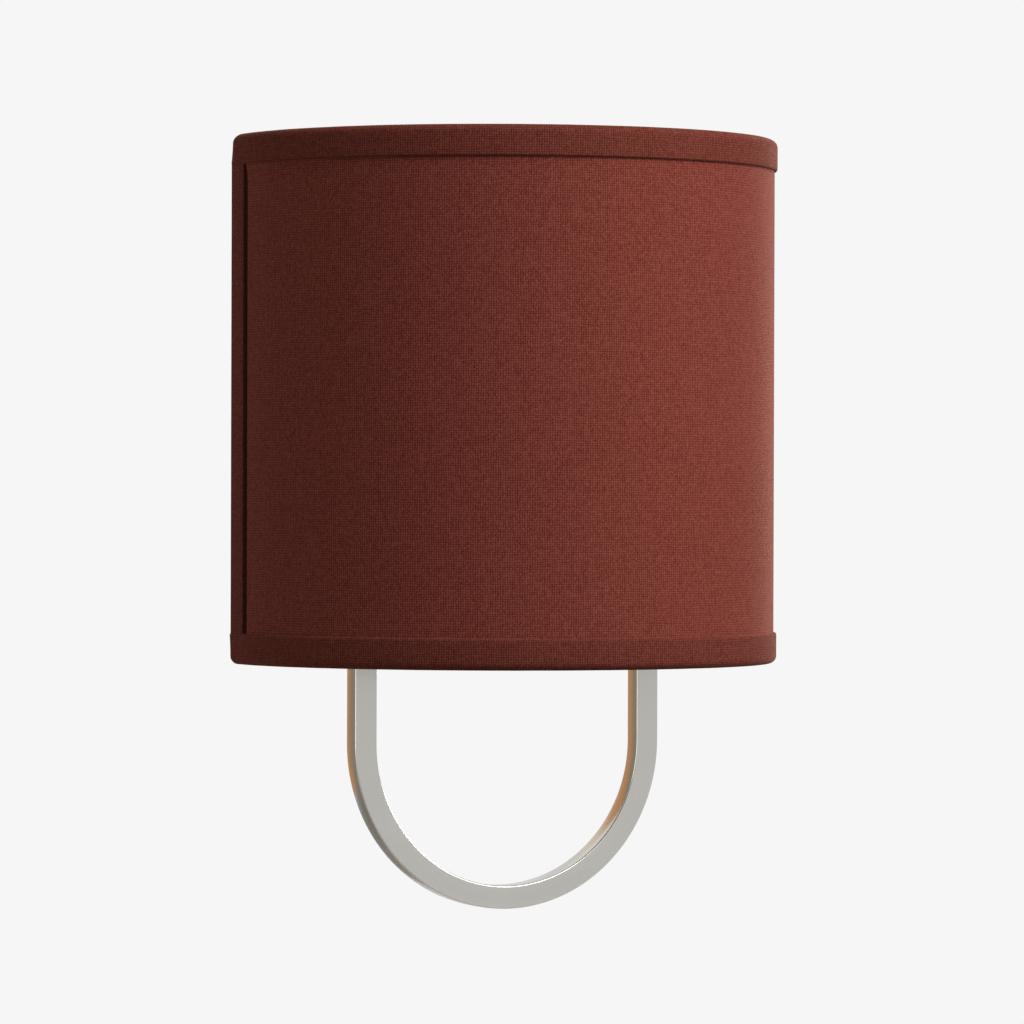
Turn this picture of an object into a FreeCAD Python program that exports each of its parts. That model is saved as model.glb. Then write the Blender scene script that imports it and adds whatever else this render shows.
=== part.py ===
"""Half-round linen wall light with a square-bar stirrup hanging below the shade.

Millimetres. The origin is on the wall, in the middle of the wall-fixing slots and of the shade's height.
+Z is up, +X is to the right seen from the room, and -Y points out into the room.
"""
import FreeCAD, Part
import math
import os
from types import SimpleNamespace

import Sketcher

doc = FreeCAD.newDocument("wall_light")

# ---------------------------------------------------------------------------------------------- driving sizes
SIZES = (
    # shade
    ("shade_radius", 114.3, "outside of the linen round the front"),
    ("shade_height", 215.9, "over the rolled top and bottom trims"),
    ("return_depth", 13.2, "straight side between the round front and the wall edge"),
    ("wall_gap", 1.0, "air between the shade's wall edge and the wall"),
    ("linen_sheet", 0.6, "linen skin"),
    ("liner_sheet", 0.5, "stiff translucent liner behind the linen"),
    ("trim_width", 12.7, "width of the rolled trims, seen from outside"),
    ("trim_stand", 1.2, "how far the top and bottom trims stand proud of the linen"),
    ("side_trim_stand", 0.6, "how far the side trims stand proud of the linen"),
    ("trim_cloth", 0.6, "single cloth of a trim where it tucks inside"),
    ("trim_tuck", 8.0, "length of the trim tucked inside"),
    ("ring_wire", 3.0, "diameter of the shade's frame wire"),
    ("wire_ease", 0.4, "air between the frame wire and the cloth that is rolled over it"),
    # stirrup
    ("bar_side", 9.525, "side of the square bar"),
    ("bar_edge", 0.6, "rounding of the bar's long edges"),
    ("bar_spread", 137.6, "width over the stirrup's legs"),
    ("bar_drop", 101.6, "stirrup below the shade's lower edge"),
    ("bar_top", 38.1, "height of the leg tops above the middle"),
    # wall pan
    ("pan_past_bar", 6.35, "wall pan beyond the stirrup's legs, each side"),
    ("pan_tall", 177.8, "wall pan"),
    ("pan_depth", 16.0, "wall pan, and the stand-off of the stirrup"),
    ("pan_sheet", 1.2, "drawn steel of the pan"),
    ("pan_corner", 8.0, "corner radius of the pan seen from the front"),
    ("pan_edge", 2.5, "drawn edge radius round the pan's face"),
    # crossbar and its fixings
    ("strap_tall", 127.0, "crossbar"),
    ("strap_width", 25.4, "crossbar"),
    ("strap_sheet", 2.4, "crossbar"),
    ("strap_corner", 3.0, "crossbar corner radius"),
    ("box_slot_near", 69.85, "smallest wall-box screw spacing that the slots take"),
    ("box_slot_far", 88.9, "largest wall-box screw spacing that the slots take"),
    ("box_slot_half", 2.3, "half the width of the wall-box slots"),
    ("nipple_hole", 10.4, "diameter of the crossbar's middle hole"),
    ("stud_spacing", 107.95, "between the two mounting studs"),
    ("stud_across", 4.1, "diameter of the mounting studs"),
    ("stud_past_pan", 6.0, "stud end in front of the pan"),
    ("nut_flats", 8.0, "stud lock nut across flats"),
    ("nut_thick", 2.5, "stud lock nut"),
    ("cap_nut_across", 11.0, "diameter of the cap nuts"),
    ("cap_nut_tall", 9.0, "height of the cap nuts"),
    ("stud_hole_ease", 0.35, "radial room round a stud in the pan"),
    ("earth_screw_up", 20.0, "earth screw above the middle"),
    ("earth_screw_across", 4.8, "earth screw thread"),
    ("earth_head_across", 9.0, "earth screw washer head"),
    ("earth_head_tall", 3.2, "earth screw head"),
    # stirrup screws
    ("leg_screw_low", -72.0, "lower stirrup screws"),
    ("leg_screw_high", 28.0, "upper stirrup screws"),
    ("leg_screw_across", 4.0, "stirrup screw thread"),
    ("leg_screw_bite", 6.0, "stirrup screw inside the bar"),
    ("leg_head_across", 7.8, "stirrup screw head"),
    ("leg_head_tall", 2.6, "stirrup screw head"),
    # shade hooks
    ("hook_spread", 76.2, "between the middles of the two hooks"),
    ("hook_wide", 14.0, "hook strip"),
    ("hook_sheet", 1.2, "hook strip"),
    ("hook_side_ease", 0.3, "air each side of the wire in its hook"),
    ("hook_seat_ease", 0.05, "air under the wire in its hook"),
    ("hook_foot", 10.0, "hook foot on the top of the pan"),
    ("hook_lip", 1.2, "hook lip above the middle of the wire"),
    ("rivet_across", 3.2, "hook rivet"),
    ("rivet_head_across", 6.0, "hook rivet head"),
    ("rivet_head_tall", 1.5, "hook rivet head"),
    ("rivet_tail_tall", 1.0, "hook rivet tail"),
    # lamp arm
    ("lamp_out", 66.0, "lamp axis from the wall"),
    ("arm_down", 74.0, "arm below the middle"),
    ("arm_across", 10.0, "arm tube"),
    ("arm_bore", 7.0, "arm tube bore"),
    ("arm_bend", 16.0, "centre-line radius of the arm's bend"),
    ("arm_inside", 6.0, "arm inside the pan, from the pan's face"),
    ("collar_across", 20.0, "arm collar"),
    ("collar_thick", 3.0, "arm collar"),
    ("arm_nut_flats", 14.0, "arm lock nut across flats"),
    ("arm_nut_thick", 3.0, "arm lock nut"),
    # lampholder, heights measured up from the foot of its cap
    ("holder_foot_down", 56.0, "foot of the lampholder cap below the middle"),
    ("holder_neck_across", 13.0, "neck of the lampholder cap"),
    ("holder_neck_tall", 6.0, "neck of the lampholder cap"),
    ("holder_across", 33.0, "lampholder cap"),
    ("holder_dome", 8.0, "dome radius of the lampholder cap"),
    ("holder_cap_rim", 24.0, "rim of the lampholder cap"),
    ("holder_cap_sheet", 0.8, "lampholder cap"),
    ("holder_shell_sheet", 0.6, "lampholder shell"),
    ("holder_rim", 46.0, "rim of the lampholder shell"),
    ("holder_bead", 0.8, "rolled bead round the shell's rim"),
    ("sleeve_sheet", 0.5, "insulating sleeve"),
    ("sleeve_short", 1.0, "insulating sleeve below the shell's rim"),
    ("block_thick", 4.0, "insulating block of the lampholder"),
    ("block_boss_tall", 4.0, "boss of the insulating block"),
    ("screw_shell_sheet", 0.4, "screw shell"),
    ("screw_shell_ease", 0.3, "air round the bulb cap in the screw shell"),
    ("tongue_wide", 4.0, "centre contact"),
    ("tongue_sheet", 0.5, "centre contact"),
    ("tongue_rise", 2.5, "centre contact above the boss"),
    ("tongue_foot", 10.0, "centre contact foot"),
    ("tongue_land", 4.0, "flat top of the centre contact"),
    # leads inside the arm
    ("lead_across", 2.2, "insulated lead"),
    ("lead_apart", 2.5, "between the two leads' middles"),
    ("lead_turn", 5.5, "bend radius of a lead inside the pan"),
    ("lead_reach", 30.0, "lead end from the middle of the pan"),
    ("connector_across", 8.0, "mouth of a twist-on connector"),
    ("connector_end_across", 5.2, "closed end of a twist-on connector"),
    ("connector_length", 18.0, "twist-on connector"),
    ("connector_grip", 6.0, "lead inside its connector"),
    # bulb
    ("bulb_gap", 0.3, "air between the bulb's tip and the centre contact"),
    ("bulb_length", 108.5, "bulb from its tip to its crown"),
    ("bulb_across", 60.0, "bulb globe"),
    ("bulb_cap_across", 25.8, "bulb screw cap"),
    ("bulb_cap_tall", 20.0, "bulb screw cap"),
    ("bulb_cap_sheet", 0.5, "bulb screw cap"),
    ("bulb_cap_turn_in", 2.0, "chamfer at the foot of the bulb cap"),
    ("bulb_tip_across", 9.0, "bulb tip contact"),
    ("bulb_tip_tall", 2.0, "bulb tip contact"),
    ("bulb_base_tall", 3.2, "black glass between the tip and the cap"),
    ("bulb_neck_across", 27.0, "bulb neck"),
    ("bulb_shoulder", 45.0, "hollow radius between the neck and the globe"),
    ("bulb_glass", 1.0, "glass thickness"),
)

sheet = doc.addObject("Spreadsheet::Sheet", "sizes")
for row, (alias, number, meaning) in enumerate(SIZES, start=1):
    sheet.set(f"A{row}", f"'{alias}")
    sheet.set(f"B{row}", str(number))
    sheet.setAlias(f"B{row}", alias)
    sheet.set(f"C{row}", f"'{meaning}")
doc.recompute()


class Size:
    """A length that carries its number and the sheet expression which gives that number."""

    def __init__(self, number, text):
        self.number = number
        self.text = text

    def __add__(self, other):
        return join_sizes(self, "+", other)

    def __radd__(self, other):
        return join_sizes(other, "+", self)

    def __sub__(self, other):
        return join_sizes(self, "-", other)

    def __rsub__(self, other):
        return join_sizes(other, "-", self)

    def __mul__(self, other):
        return join_sizes(self, "*", other)

    def __truediv__(self, other):
        return join_sizes(self, "/", other)

    def __neg__(self):
        return join_sizes(0, "-", self)


def as_size(value):
    return value if isinstance(value, Size) else Size(float(value), str(value))


def join_sizes(left, sign, right):
    left = as_size(left)
    right = as_size(right)
    numbers = {
        "+": left.number + right.number,
        "-": left.number - right.number,
        "*": left.number * right.number,
        "/": left.number / (right.number or 1),
    }
    return Size(numbers[sign], f"({left.text} {sign} {right.text})")


def root_of(value):
    return Size(math.sqrt(value.number), f"sqrt({value.text})")


size = SimpleNamespace(**{alias: Size(float(sheet.get(alias)), f"sizes.{alias}") for alias, _, _ in SIZES})


# ---------------------------------------------------------------------------------------------- making features
def place(item, x=0, y=0, z=0):
    for axis, value in zip("xyz", (x, y, z)):
        item.setExpression(f"Placement.Base.{axis}", as_size(value).text)


def new_body(label, x=0, y=0, z=0):
    body = doc.addObject("PartDesign::Body", label)
    body.Label = label
    place(body, x, y, z)
    return body


def new_sketch(body, plane, name, lift=0):
    """A sketch on one of the body's own origin planes, lifted along the plane's normal."""
    sketch = body.newObject("Sketcher::SketchObject", name)
    support = next(item for item in body.Origin.OriginFeatures if item.Role == plane)
    sketch.AttachmentSupport = [(support, "")]
    sketch.MapMode = "FlatFace"
    sketch.setExpression("AttachmentOffset.Base.z", as_size(lift).text)
    return sketch


def hold(sketch, kind, where, value):
    """Adds one constraint and ties its value to the sheet."""
    index = sketch.addConstraint(Sketcher.Constraint(kind, *where, value.number))
    sketch.setExpression(f"Constraints[{index}]", value.text)


def draw_outline(sketch, steps):
    """Draws a closed outline through the points of steps.

    A step is (x, y), reached by a line, or (x, y, centre_x, centre_y, turn), reached by an arc, where a turn
    of 1 is anticlockwise. The first step's edge comes from the last point.
    """
    steps = [[as_size(value) for value in step[:4]] + list(step[4:]) for step in steps]
    edges = []
    for number, step in enumerate(steps):
        here = FreeCAD.Vector(steps[number - 1][0].number, steps[number - 1][1].number, 0)
        there = FreeCAD.Vector(step[0].number, step[1].number, 0)
        if len(step) == 2:
            edges.append((sketch.addGeometry(Part.LineSegment(here, there), False), 1, 2))
            continue
        centre = FreeCAD.Vector(step[2].number, step[3].number, 0)
        first, last = (here, there) if step[4] > 0 else (there, here)
        angles = [math.atan2(point.y - centre.y, point.x - centre.x) for point in (first, last)]
        if angles[1] <= angles[0]:
            angles[1] += 2 * math.pi
        circle = Part.Circle(centre, FreeCAD.Vector(0, 0, 1), (here - centre).Length)
        index = sketch.addGeometry(Part.ArcOfCircle(circle, *angles), False)
        edges.append((index, 1, 2) if step[4] > 0 else (index, 2, 1))
    for number, step in enumerate(steps):
        before = edges[number]
        after = edges[(number + 1) % len(edges)]
        sketch.addConstraint(Sketcher.Constraint("Coincident", before[0], before[2], after[0], after[1]))
        hold(sketch, "DistanceX", (-1, 1, before[0], before[2]), step[0])
        hold(sketch, "DistanceY", (-1, 1, before[0], before[2]), step[1])
        if len(step) > 2:
            run_x = abs(step[0].number - steps[number - 1][0].number)
            run_y = abs(step[1].number - steps[number - 1][1].number)
            kind, value = ("DistanceY", step[3]) if run_x > run_y else ("DistanceX", step[2])
            hold(sketch, kind, (-1, 1, before[0], 3), value)


def draw_circle(sketch, x, y, radius):
    x, y, radius = as_size(x), as_size(y), as_size(radius)
    centre = FreeCAD.Vector(x.number, y.number, 0)
    index = sketch.addGeometry(Part.Circle(centre, FreeCAD.Vector(0, 0, 1), radius.number), False)
    hold(sketch, "DistanceX", (-1, 1, index, 3), x)
    hold(sketch, "DistanceY", (-1, 1, index, 3), y)
    hold(sketch, "Radius", (index,), radius)


def rounded_rectangle(middle_x, middle_y, width, tall, radius):
    """Outline steps of a rectangle with round corners, anticlockwise from its lower right corner."""
    steps = []
    for side_x, side_y in ((1, -1), (1, 1), (-1, 1), (-1, -1)):
        corner_x = middle_x + width / 2 * side_x
        corner_y = middle_y + tall / 2 * side_y
        centre_x = corner_x - radius * side_x
        centre_y = corner_y - radius * side_y
        if side_x == side_y:
            steps.append((corner_x, centre_y))
            steps.append((centre_x, corner_y, centre_x, centre_y, 1))
        else:
            steps.append((centre_x, corner_y))
            steps.append((corner_x, centre_y, centre_x, centre_y, 1))
    return steps


def extrude(body, kind, sketch, length, reverse=False, both_ways=False):
    """A Pad or Pocket; a pocket has to take something away."""
    before = body.Shape.Volume if kind == "Pocket" else None
    feature = body.newObject(f"PartDesign::{kind}", f"{sketch.Name}_{kind.lower()}")
    feature.Profile = sketch
    feature.setExpression("Length", as_size(length).text)
    feature.Reversed = reverse
    if both_ways:
        feature.SideType = "Symmetric"
    doc.recompute()
    if kind == "Pocket" and body.Shape.Volume >= before:
        raise ValueError(f"{feature.Name} cuts nothing")
    return feature


def revolve(body, sketch, angle=360, reverse=False):
    """Turns a sketch about its own upright axis."""
    feature = body.newObject("PartDesign::Revolution", f"{sketch.Name}_turned")
    feature.Profile = sketch
    feature.ReferenceAxis = (sketch, ["V_Axis"])
    feature.Angle = angle
    feature.Reversed = reverse
    doc.recompute()
    return feature


def mirror_in_x(body, feature):
    """Repeats a feature on the other side of the body's YZ plane."""
    plane = next(item for item in body.Origin.OriginFeatures if item.Role == "YZ_Plane")
    mirrored = body.newObject("PartDesign::Mirrored", f"{feature.Name}_mirrored")
    mirrored.Originals = [feature]
    mirrored.MirrorPlane = (plane, [""])
    body.Tip = mirrored
    doc.recompute()
    return mirrored


def turned_body(label, plane, steps, x=0, y=0, z=0):
    """A body turned all round from one outline."""
    body = new_body(label, x, y, z)
    sketch = new_sketch(body, plane, f"{label}_outline")
    draw_outline(sketch, steps)
    revolve(body, sketch)
    return body


def collect(label, pieces):
    """Puts identical pieces in one node, each still its own solid."""
    group = doc.addObject("Part::Compound", label)
    group.Label = label
    group.Links = pieces
    return group


def cylinder_out(name, x, y, z, radius, length):
    """A cylinder whose axis runs out from the wall, from y towards the room."""
    item = doc.addObject("Part::Cylinder", name)
    item.Placement = FreeCAD.Placement(FreeCAD.Vector(), FreeCAD.Rotation(FreeCAD.Vector(1, 0, 0), 90))
    place(item, x, y, z)
    item.setExpression("Radius", as_size(radius).text)
    item.setExpression("Height", as_size(length).text)
    return item


def hex_nut(name, x, y, z, flats, bore, thick):
    """A hexagon nut on an axis that runs out from the wall."""
    hexagon = doc.addObject("Part::Prism", f"{name}_hexagon")
    hexagon.Polygon = 6
    hexagon.Placement = FreeCAD.Placement(FreeCAD.Vector(), FreeCAD.Rotation(FreeCAD.Vector(1, 0, 0), 90))
    place(hexagon, x, y, z)
    hexagon.setExpression("Circumradius", (flats / math.sqrt(3)).text)
    hexagon.setExpression("Height", thick.text)
    nut = doc.addObject("Part::Cut", name)
    nut.Base = hexagon
    nut.Tool = cylinder_out(f"{name}_bore", x, y, z, bore / 2, thick)
    return nut


nodes = []

# ---------------------------------------------------------------------------------------------- shade
# Everything of the shade follows one plan: a half circle round the front and a short straight return to the
# wall on each side. The bodies of the shade have their own origin at the middle of that half circle.
shade_middle_y = -(size.wall_gap + size.return_depth)
wire_radius = size.ring_wire / 2
core = size.linen_sheet + size.liner_sheet + size.ring_wire
wire_at = size.shade_radius - core + wire_radius
roll_core = core + size.wire_ease + size.trim_cloth
tuck_inner = size.shade_radius - roll_core
roll_radius = (size.trim_stand + roll_core) / 2
side_roll_radius = (size.side_trim_stand + roll_core) / 2
wire_level = size.shade_height / 2 - roll_radius
side_wire_y = size.return_depth - side_roll_radius


def follow_plan(body, sketch, return_length):
    """Sweeps a section, drawn at the right-hand side, round the front and along both returns."""
    revolve(body, sketch, 180, reverse=True)
    straight = extrude(body, "Pad", sketch, return_length, reverse=True)
    mirror_in_x(body, straight)


def shade_sheet(label, outer, thickness):
    """One upright layer of the shade between the two ring wires."""
    inner = outer - thickness
    body = new_body(label, 0, shade_middle_y, 0)
    sketch = new_sketch(body, "XY_Plane", f"{label}_plan")
    draw_outline(sketch, [
        (outer, side_wire_y),
        (inner, side_wire_y),
        (inner, 0),
        (-inner, 0, 0, 0, -1),
        (-inner, side_wire_y),
        (-outer, side_wire_y),
        (-outer, 0),
        (outer, 0, 0, 0, 1),
    ])
    extrude(body, "Pad", sketch, wire_level * 2, both_ways=True)
    return body


def roll_section(outer, radius, width, crown, side):
    """Section of a trim: a face band, a roll over the wire and a cloth tucked inside.

    crown is where the roll's top lies, side is 1 where the roll is at the upper end and -1 at the lower.
    The numbers run across the shade's wall, then along it.
    """
    middle = crown - radius * side
    tuck_outer = tuck_inner + size.trim_cloth
    cavity_middle = (tuck_outer + size.shade_radius) / 2
    roll_middle = (tuck_inner + outer) / 2
    return [
        (outer, crown - width * side),
        (outer, middle),
        (tuck_inner, middle, roll_middle, middle, side),
        (tuck_inner, middle - size.trim_tuck * side),
        (tuck_outer, middle - size.trim_tuck * side),
        (tuck_outer, middle),
        (size.shade_radius, middle, cavity_middle, middle, -side),
        (size.shade_radius, crown - width * side),
    ]


def rim_trim(label, side, notch):
    """Self-cloth band rolled over the top (side 1) or bottom (side -1) ring wire.

    The tucked cloth is notched where the back wire passes through it.
    """
    body = new_body(label, 0, shade_middle_y, 0)
    sketch = new_sketch(body, "XZ_Plane", f"{label}_section")
    face = size.shade_radius + size.trim_stand
    draw_outline(sketch, roll_section(face, roll_radius, size.trim_width, size.shade_height / 2 * side, side))
    follow_plan(body, sketch, size.return_depth)
    if notch:
        hole = new_sketch(body, "YZ_Plane", f"{label}_notch")
        draw_circle(hole, side_wire_y, wire_level * side, wire_radius)
        extrude(body, "Pocket", hole, (wire_at + wire_radius) * 2, both_ways=True)
    return body


def side_trim(label, hand):
    """Self-cloth band rolled over the upright wire at the right (hand 1) or left (hand -1) wall edge."""
    body = new_body(label, 0, shade_middle_y, 0)
    sketch = new_sketch(body, "XY_Plane", f"{label}_section")
    face = size.shade_radius + size.side_trim_stand
    steps = roll_section(face, side_roll_radius, size.return_depth, size.return_depth, 1)
    if hand < 0:
        steps = [(-step[0], step[1]) if len(step) == 2 else (-step[0], step[1], -step[2], step[3], -step[4])
                 for step in steps]
    draw_outline(sketch, steps)
    extrude(body, "Pad", sketch, size.shade_height - size.trim_width * 2, both_ways=True)
    return body


def rim_wire(label, side, past_upright, cope):
    """Ring wire of the shade: round the front and back to the uprights, open along the wall."""
    body = new_body(label, 0, shade_middle_y, 0)
    sketch = new_sketch(body, "XZ_Plane", f"{label}_section")
    draw_circle(sketch, wire_at, wire_level * side, wire_radius)
    follow_plan(body, sketch, side_wire_y + past_upright)
    if cope:
        end = new_sketch(body, "YZ_Plane", f"{label}_cope")
        draw_circle(end, side_wire_y, wire_level * side, wire_radius)
        extrude(body, "Pocket", end, size.shade_radius * 2, both_ways=True)
    return body


linen_skin = shade_sheet("linen_skin", size.shade_radius, size.linen_sheet)
shade_liner = shade_sheet("shade_liner", size.shade_radius - size.linen_sheet, size.liner_sheet)
top_trim = rim_trim("top_trim", 1, notch=True)
bottom_trim = rim_trim("bottom_trim", -1, notch=False)
left_side_trim = side_trim("left_side_trim", -1)
right_side_trim = side_trim("right_side_trim", 1)
top_ring = rim_wire("top_ring", 1, 0, cope=True)
bottom_ring = rim_wire("bottom_ring", -1, wire_radius, cope=False)

# The back wire closes the top ring along the wall and hangs in the two hooks.
back_wire = doc.addObject("Part::Cylinder", "back_wire")
back_wire.Label = "back_wire"
back_wire.Placement = FreeCAD.Placement(FreeCAD.Vector(), FreeCAD.Rotation(FreeCAD.Vector(0, 1, 0), 90))
place(back_wire, -(wire_at + wire_radius), shade_middle_y + side_wire_y, wire_level)
back_wire.setExpression("Radius", wire_radius.text)
back_wire.setExpression("Height", ((wire_at + wire_radius) * 2).text)


def upright_wire(name, hand):
    """Upright wire at a wall edge, its ends coped to the wires that it is welded to."""
    blank = doc.addObject("Part::Cylinder", f"{name}_blank")
    place(blank, wire_at * hand, shade_middle_y + side_wire_y, -wire_level)
    blank.setExpression("Radius", wire_radius.text)
    blank.setExpression("Height", (wire_level * 2).text)
    for tool in (back_wire, top_ring, bottom_ring):
        coped = doc.addObject("Part::Cut", f"{name}_{tool.Name}_cope")
        coped.Base = blank
        coped.Tool = tool
        blank = coped
    return blank


upright_wires = collect("upright_wires", [upright_wire("left_upright", -1), upright_wire("right_upright", 1)])
nodes += [linen_skin, shade_liner, top_trim, bottom_trim, left_side_trim, right_side_trim]
nodes += [top_ring, bottom_ring, back_wire, upright_wires]

# ---------------------------------------------------------------------------------------------- wall pan
# A drawn steel pan, open to the wall. The stirrup, the arm and the hooks are fixed to it.
pan_inner_y = -(size.pan_depth - size.pan_sheet)
leg_at = (size.bar_spread - size.bar_side) / 2
stud_levels = (-size.stud_spacing / 2, size.stud_spacing / 2)
leg_screw_places = [(leg_at * hand, level) for hand in (-1, 1) for level in (size.leg_screw_low, size.leg_screw_high)]
hook_places = (-size.hook_spread / 2, size.hook_spread / 2)
rivet_y = -(size.wall_gap + size.hook_foot * 0.6)

wall_pan = new_body("wall_pan")
pan_face = new_sketch(wall_pan, "XZ_Plane", "pan_face")
pan_width = size.bar_spread + size.pan_past_bar * 2
draw_outline(pan_face, rounded_rectangle(as_size(0), as_size(0), pan_width, size.pan_tall, size.pan_corner))
pan_block = extrude(wall_pan, "Pad", pan_face, size.pan_depth)


def faces_at(shape, axis, value):
    """Names of the shape's flat faces that lie at one value of an axis."""
    found = []
    for number, face in enumerate(shape.Faces, start=1):
        box = face.BoundBox
        low, high = (box.YMin, box.YMax) if axis == "y" else (box.ZMin, box.ZMax)
        if abs(low - value) < 0.001 and abs(high - value) < 0.001:
            found.append(f"Face{number}")
    return found


def edges_at(shape, value):
    """Names of the shape's edges that lie at one distance from the wall."""
    return [f"Edge{number}" for number, edge in enumerate(shape.Edges, start=1)
            if abs(edge.BoundBox.YMin - value) < 0.001 and abs(edge.BoundBox.YMax - value) < 0.001]


pan_round = wall_pan.newObject("PartDesign::Fillet", "pan_round")
pan_round.Base = (pan_block, edges_at(pan_block.Shape, -size.pan_depth.number))
pan_round.setExpression("Radius", size.pan_edge.text)
doc.recompute()
pan_hollow = wall_pan.newObject("PartDesign::Thickness", "pan_hollow")
pan_hollow.Base = (pan_round, faces_at(pan_round.Shape, "y", 0))
pan_hollow.setExpression("Value", size.pan_sheet.text)
pan_hollow.Reversed = True
doc.recompute()
pan_holes = new_sketch(wall_pan, "XZ_Plane", "pan_holes")
for level in stud_levels:
    draw_circle(pan_holes, 0, level, size.stud_across / 2 + size.stud_hole_ease)
for place_x, level in leg_screw_places:
    draw_circle(pan_holes, place_x, level, size.leg_screw_across / 2)
draw_circle(pan_holes, 0, -size.arm_down, size.arm_across / 2)
extrude(wall_pan, "Pocket", pan_holes, size.pan_depth * 3, both_ways=True)
rivet_holes = new_sketch(wall_pan, "XY_Plane", "rivet_holes", size.pan_tall / 2)
for place_x in hook_places:
    draw_circle(rivet_holes, place_x, rivet_y, size.rivet_across / 2)
extrude(wall_pan, "Pocket", rivet_holes, size.pan_sheet * 3, both_ways=True)
nodes.append(wall_pan)

# ---------------------------------------------------------------------------------------------- crossbar
# The crossbar goes on the wall box first. Two studs stand out of it, and the cap nuts draw the pan to the wall.
slot_middle = (size.box_slot_near + size.box_slot_far) / 4
slot_half_run = (size.box_slot_far - size.box_slot_near) / 4

crossbar = new_body("crossbar")
strap_face = new_sketch(crossbar, "XZ_Plane", "strap_face")
draw_outline(strap_face, rounded_rectangle(as_size(0), as_size(0), size.strap_width, size.strap_tall,
                                           size.strap_corner))
extrude(crossbar, "Pad", strap_face, size.strap_sheet)
strap_holes = new_sketch(crossbar, "XZ_Plane", "strap_holes")
draw_circle(strap_holes, 0, 0, size.nipple_hole / 2)
draw_circle(strap_holes, 0, size.earth_screw_up, size.earth_screw_across / 2)
for level in stud_levels:
    draw_circle(strap_holes, 0, level, size.stud_across / 2)
for side in (-1, 1):
    low = slot_middle * side - slot_half_run
    high = slot_middle * side + slot_half_run
    half = size.box_slot_half
    draw_outline(strap_holes, [
        (half, low, 0, low, 1),
        (half, high),
        (-half, high, 0, high, 1),
        (-half, low),
    ])
extrude(crossbar, "Pocket", strap_holes, size.strap_sheet * 3, both_ways=True)

stud_length = size.pan_depth + size.stud_past_pan
mounting_studs = collect("mounting_studs", [
    cylinder_out(f"stud_{number}", 0, 0, level, size.stud_across / 2, stud_length)
    for number, level in enumerate(stud_levels)])
stud_lock_nuts = collect("stud_lock_nuts", [
    hex_nut(f"stud_nut_{number}", 0, -size.strap_sheet, level, size.nut_flats, size.stud_across, size.nut_thick)
    for number, level in enumerate(stud_levels)])

cap_radius = size.cap_nut_across / 2
cap_dome_start = size.cap_nut_tall - cap_radius
cap_nuts = collect("cap_nuts", [
    turned_body(f"cap_nut_{number}", "XY_Plane", [
        (size.stud_across / 2, 0),
        (cap_radius, 0),
        (cap_radius, -cap_dome_start),
        (0, -size.cap_nut_tall, 0, -cap_dome_start, -1),
        (0, -size.stud_past_pan),
        (size.stud_across / 2, -size.stud_past_pan),
    ], 0, -size.pan_depth, level)
    for number, level in enumerate(stud_levels)])

earth_screw = turned_body("earth_screw", "XY_Plane", [
    (0, 0),
    (size.earth_screw_across / 2, 0),
    (size.earth_screw_across / 2, -size.strap_sheet),
    (size.earth_head_across / 2, -size.strap_sheet),
    (size.earth_head_across / 2, -(size.strap_sheet + size.earth_head_tall * 0.3)),
    (size.earth_head_across * 0.35, -(size.strap_sheet + size.earth_head_tall * 0.3)),
    (size.earth_head_across * 0.35, -(size.strap_sheet + size.earth_head_tall)),
    (0, -(size.strap_sheet + size.earth_head_tall)),
], 0, 0, size.earth_screw_up)
nodes += [crossbar, mounting_studs, stud_lock_nuts, cap_nuts, earth_screw]

# ---------------------------------------------------------------------------------------------- stirrup
# One square bar bent to a U. Its legs lie on the pan's face behind the shade and are screwed from inside the pan.
bar_bend = leg_at
bend_level = -(size.shade_height / 2 + size.bar_drop - size.bar_side / 2) + bar_bend
bar_middle_y = -(size.pan_depth + size.bar_side / 2)

u_bar = new_body("u_bar", 0, bar_middle_y, bend_level)
bar_section = new_sketch(u_bar, "XY_Plane", "bar_section")
draw_outline(bar_section, rounded_rectangle(leg_at, as_size(0), size.bar_side, size.bar_side, size.bar_edge))
revolve(u_bar, bar_section, 180)
right_leg = extrude(u_bar, "Pad", bar_section, size.bar_top - bend_level)
mirror_in_x(u_bar, right_leg)
leg_holes = new_sketch(u_bar, "XZ_Plane", "leg_holes", -size.bar_side / 2)
for place_x, level in leg_screw_places:
    draw_circle(leg_holes, place_x, level - bend_level, size.leg_screw_across / 2)
extrude(u_bar, "Pocket", leg_holes, size.leg_screw_bite + 1, reverse=True)

leg_head_y = size.leg_head_tall
leg_screws = collect("leg_screws", [
    turned_body(f"leg_screw_{number}", "XY_Plane", [
        (0, -(size.pan_sheet + size.leg_screw_bite)),
        (size.leg_screw_across / 2, -(size.pan_sheet + size.leg_screw_bite)),
        (size.leg_screw_across / 2, 0),
        (size.leg_head_across / 2, 0),
        (size.leg_head_across / 2, leg_head_y * 0.4),
        (size.leg_head_across / 2 - leg_head_y * 0.6, leg_head_y,
         size.leg_head_across / 2 - leg_head_y * 0.6, leg_head_y * 0.4, 1),
        (0, leg_head_y),
    ], place_x, pan_inner_y, level)
    for number, (place_x, level) in enumerate(leg_screw_places)])
nodes += [u_bar, leg_screws]

# ---------------------------------------------------------------------------------------------- shade hooks
# Strip bent to a J: a foot riveted to the pan's top, a riser by the wall, a saddle under the back wire and a lip.
pan_top = size.pan_tall / 2
wire_y = shade_middle_y + side_wire_y
saddle_radius = wire_radius + size.hook_side_ease
saddle_level = wire_level - wire_radius + saddle_radius - size.hook_seat_ease
riser_front = wire_y + saddle_radius
riser_back = riser_front + size.hook_sheet
lip_back = wire_y - saddle_radius
lip_front = lip_back - size.hook_sheet
foot_bend = size.hook_sheet

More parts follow.
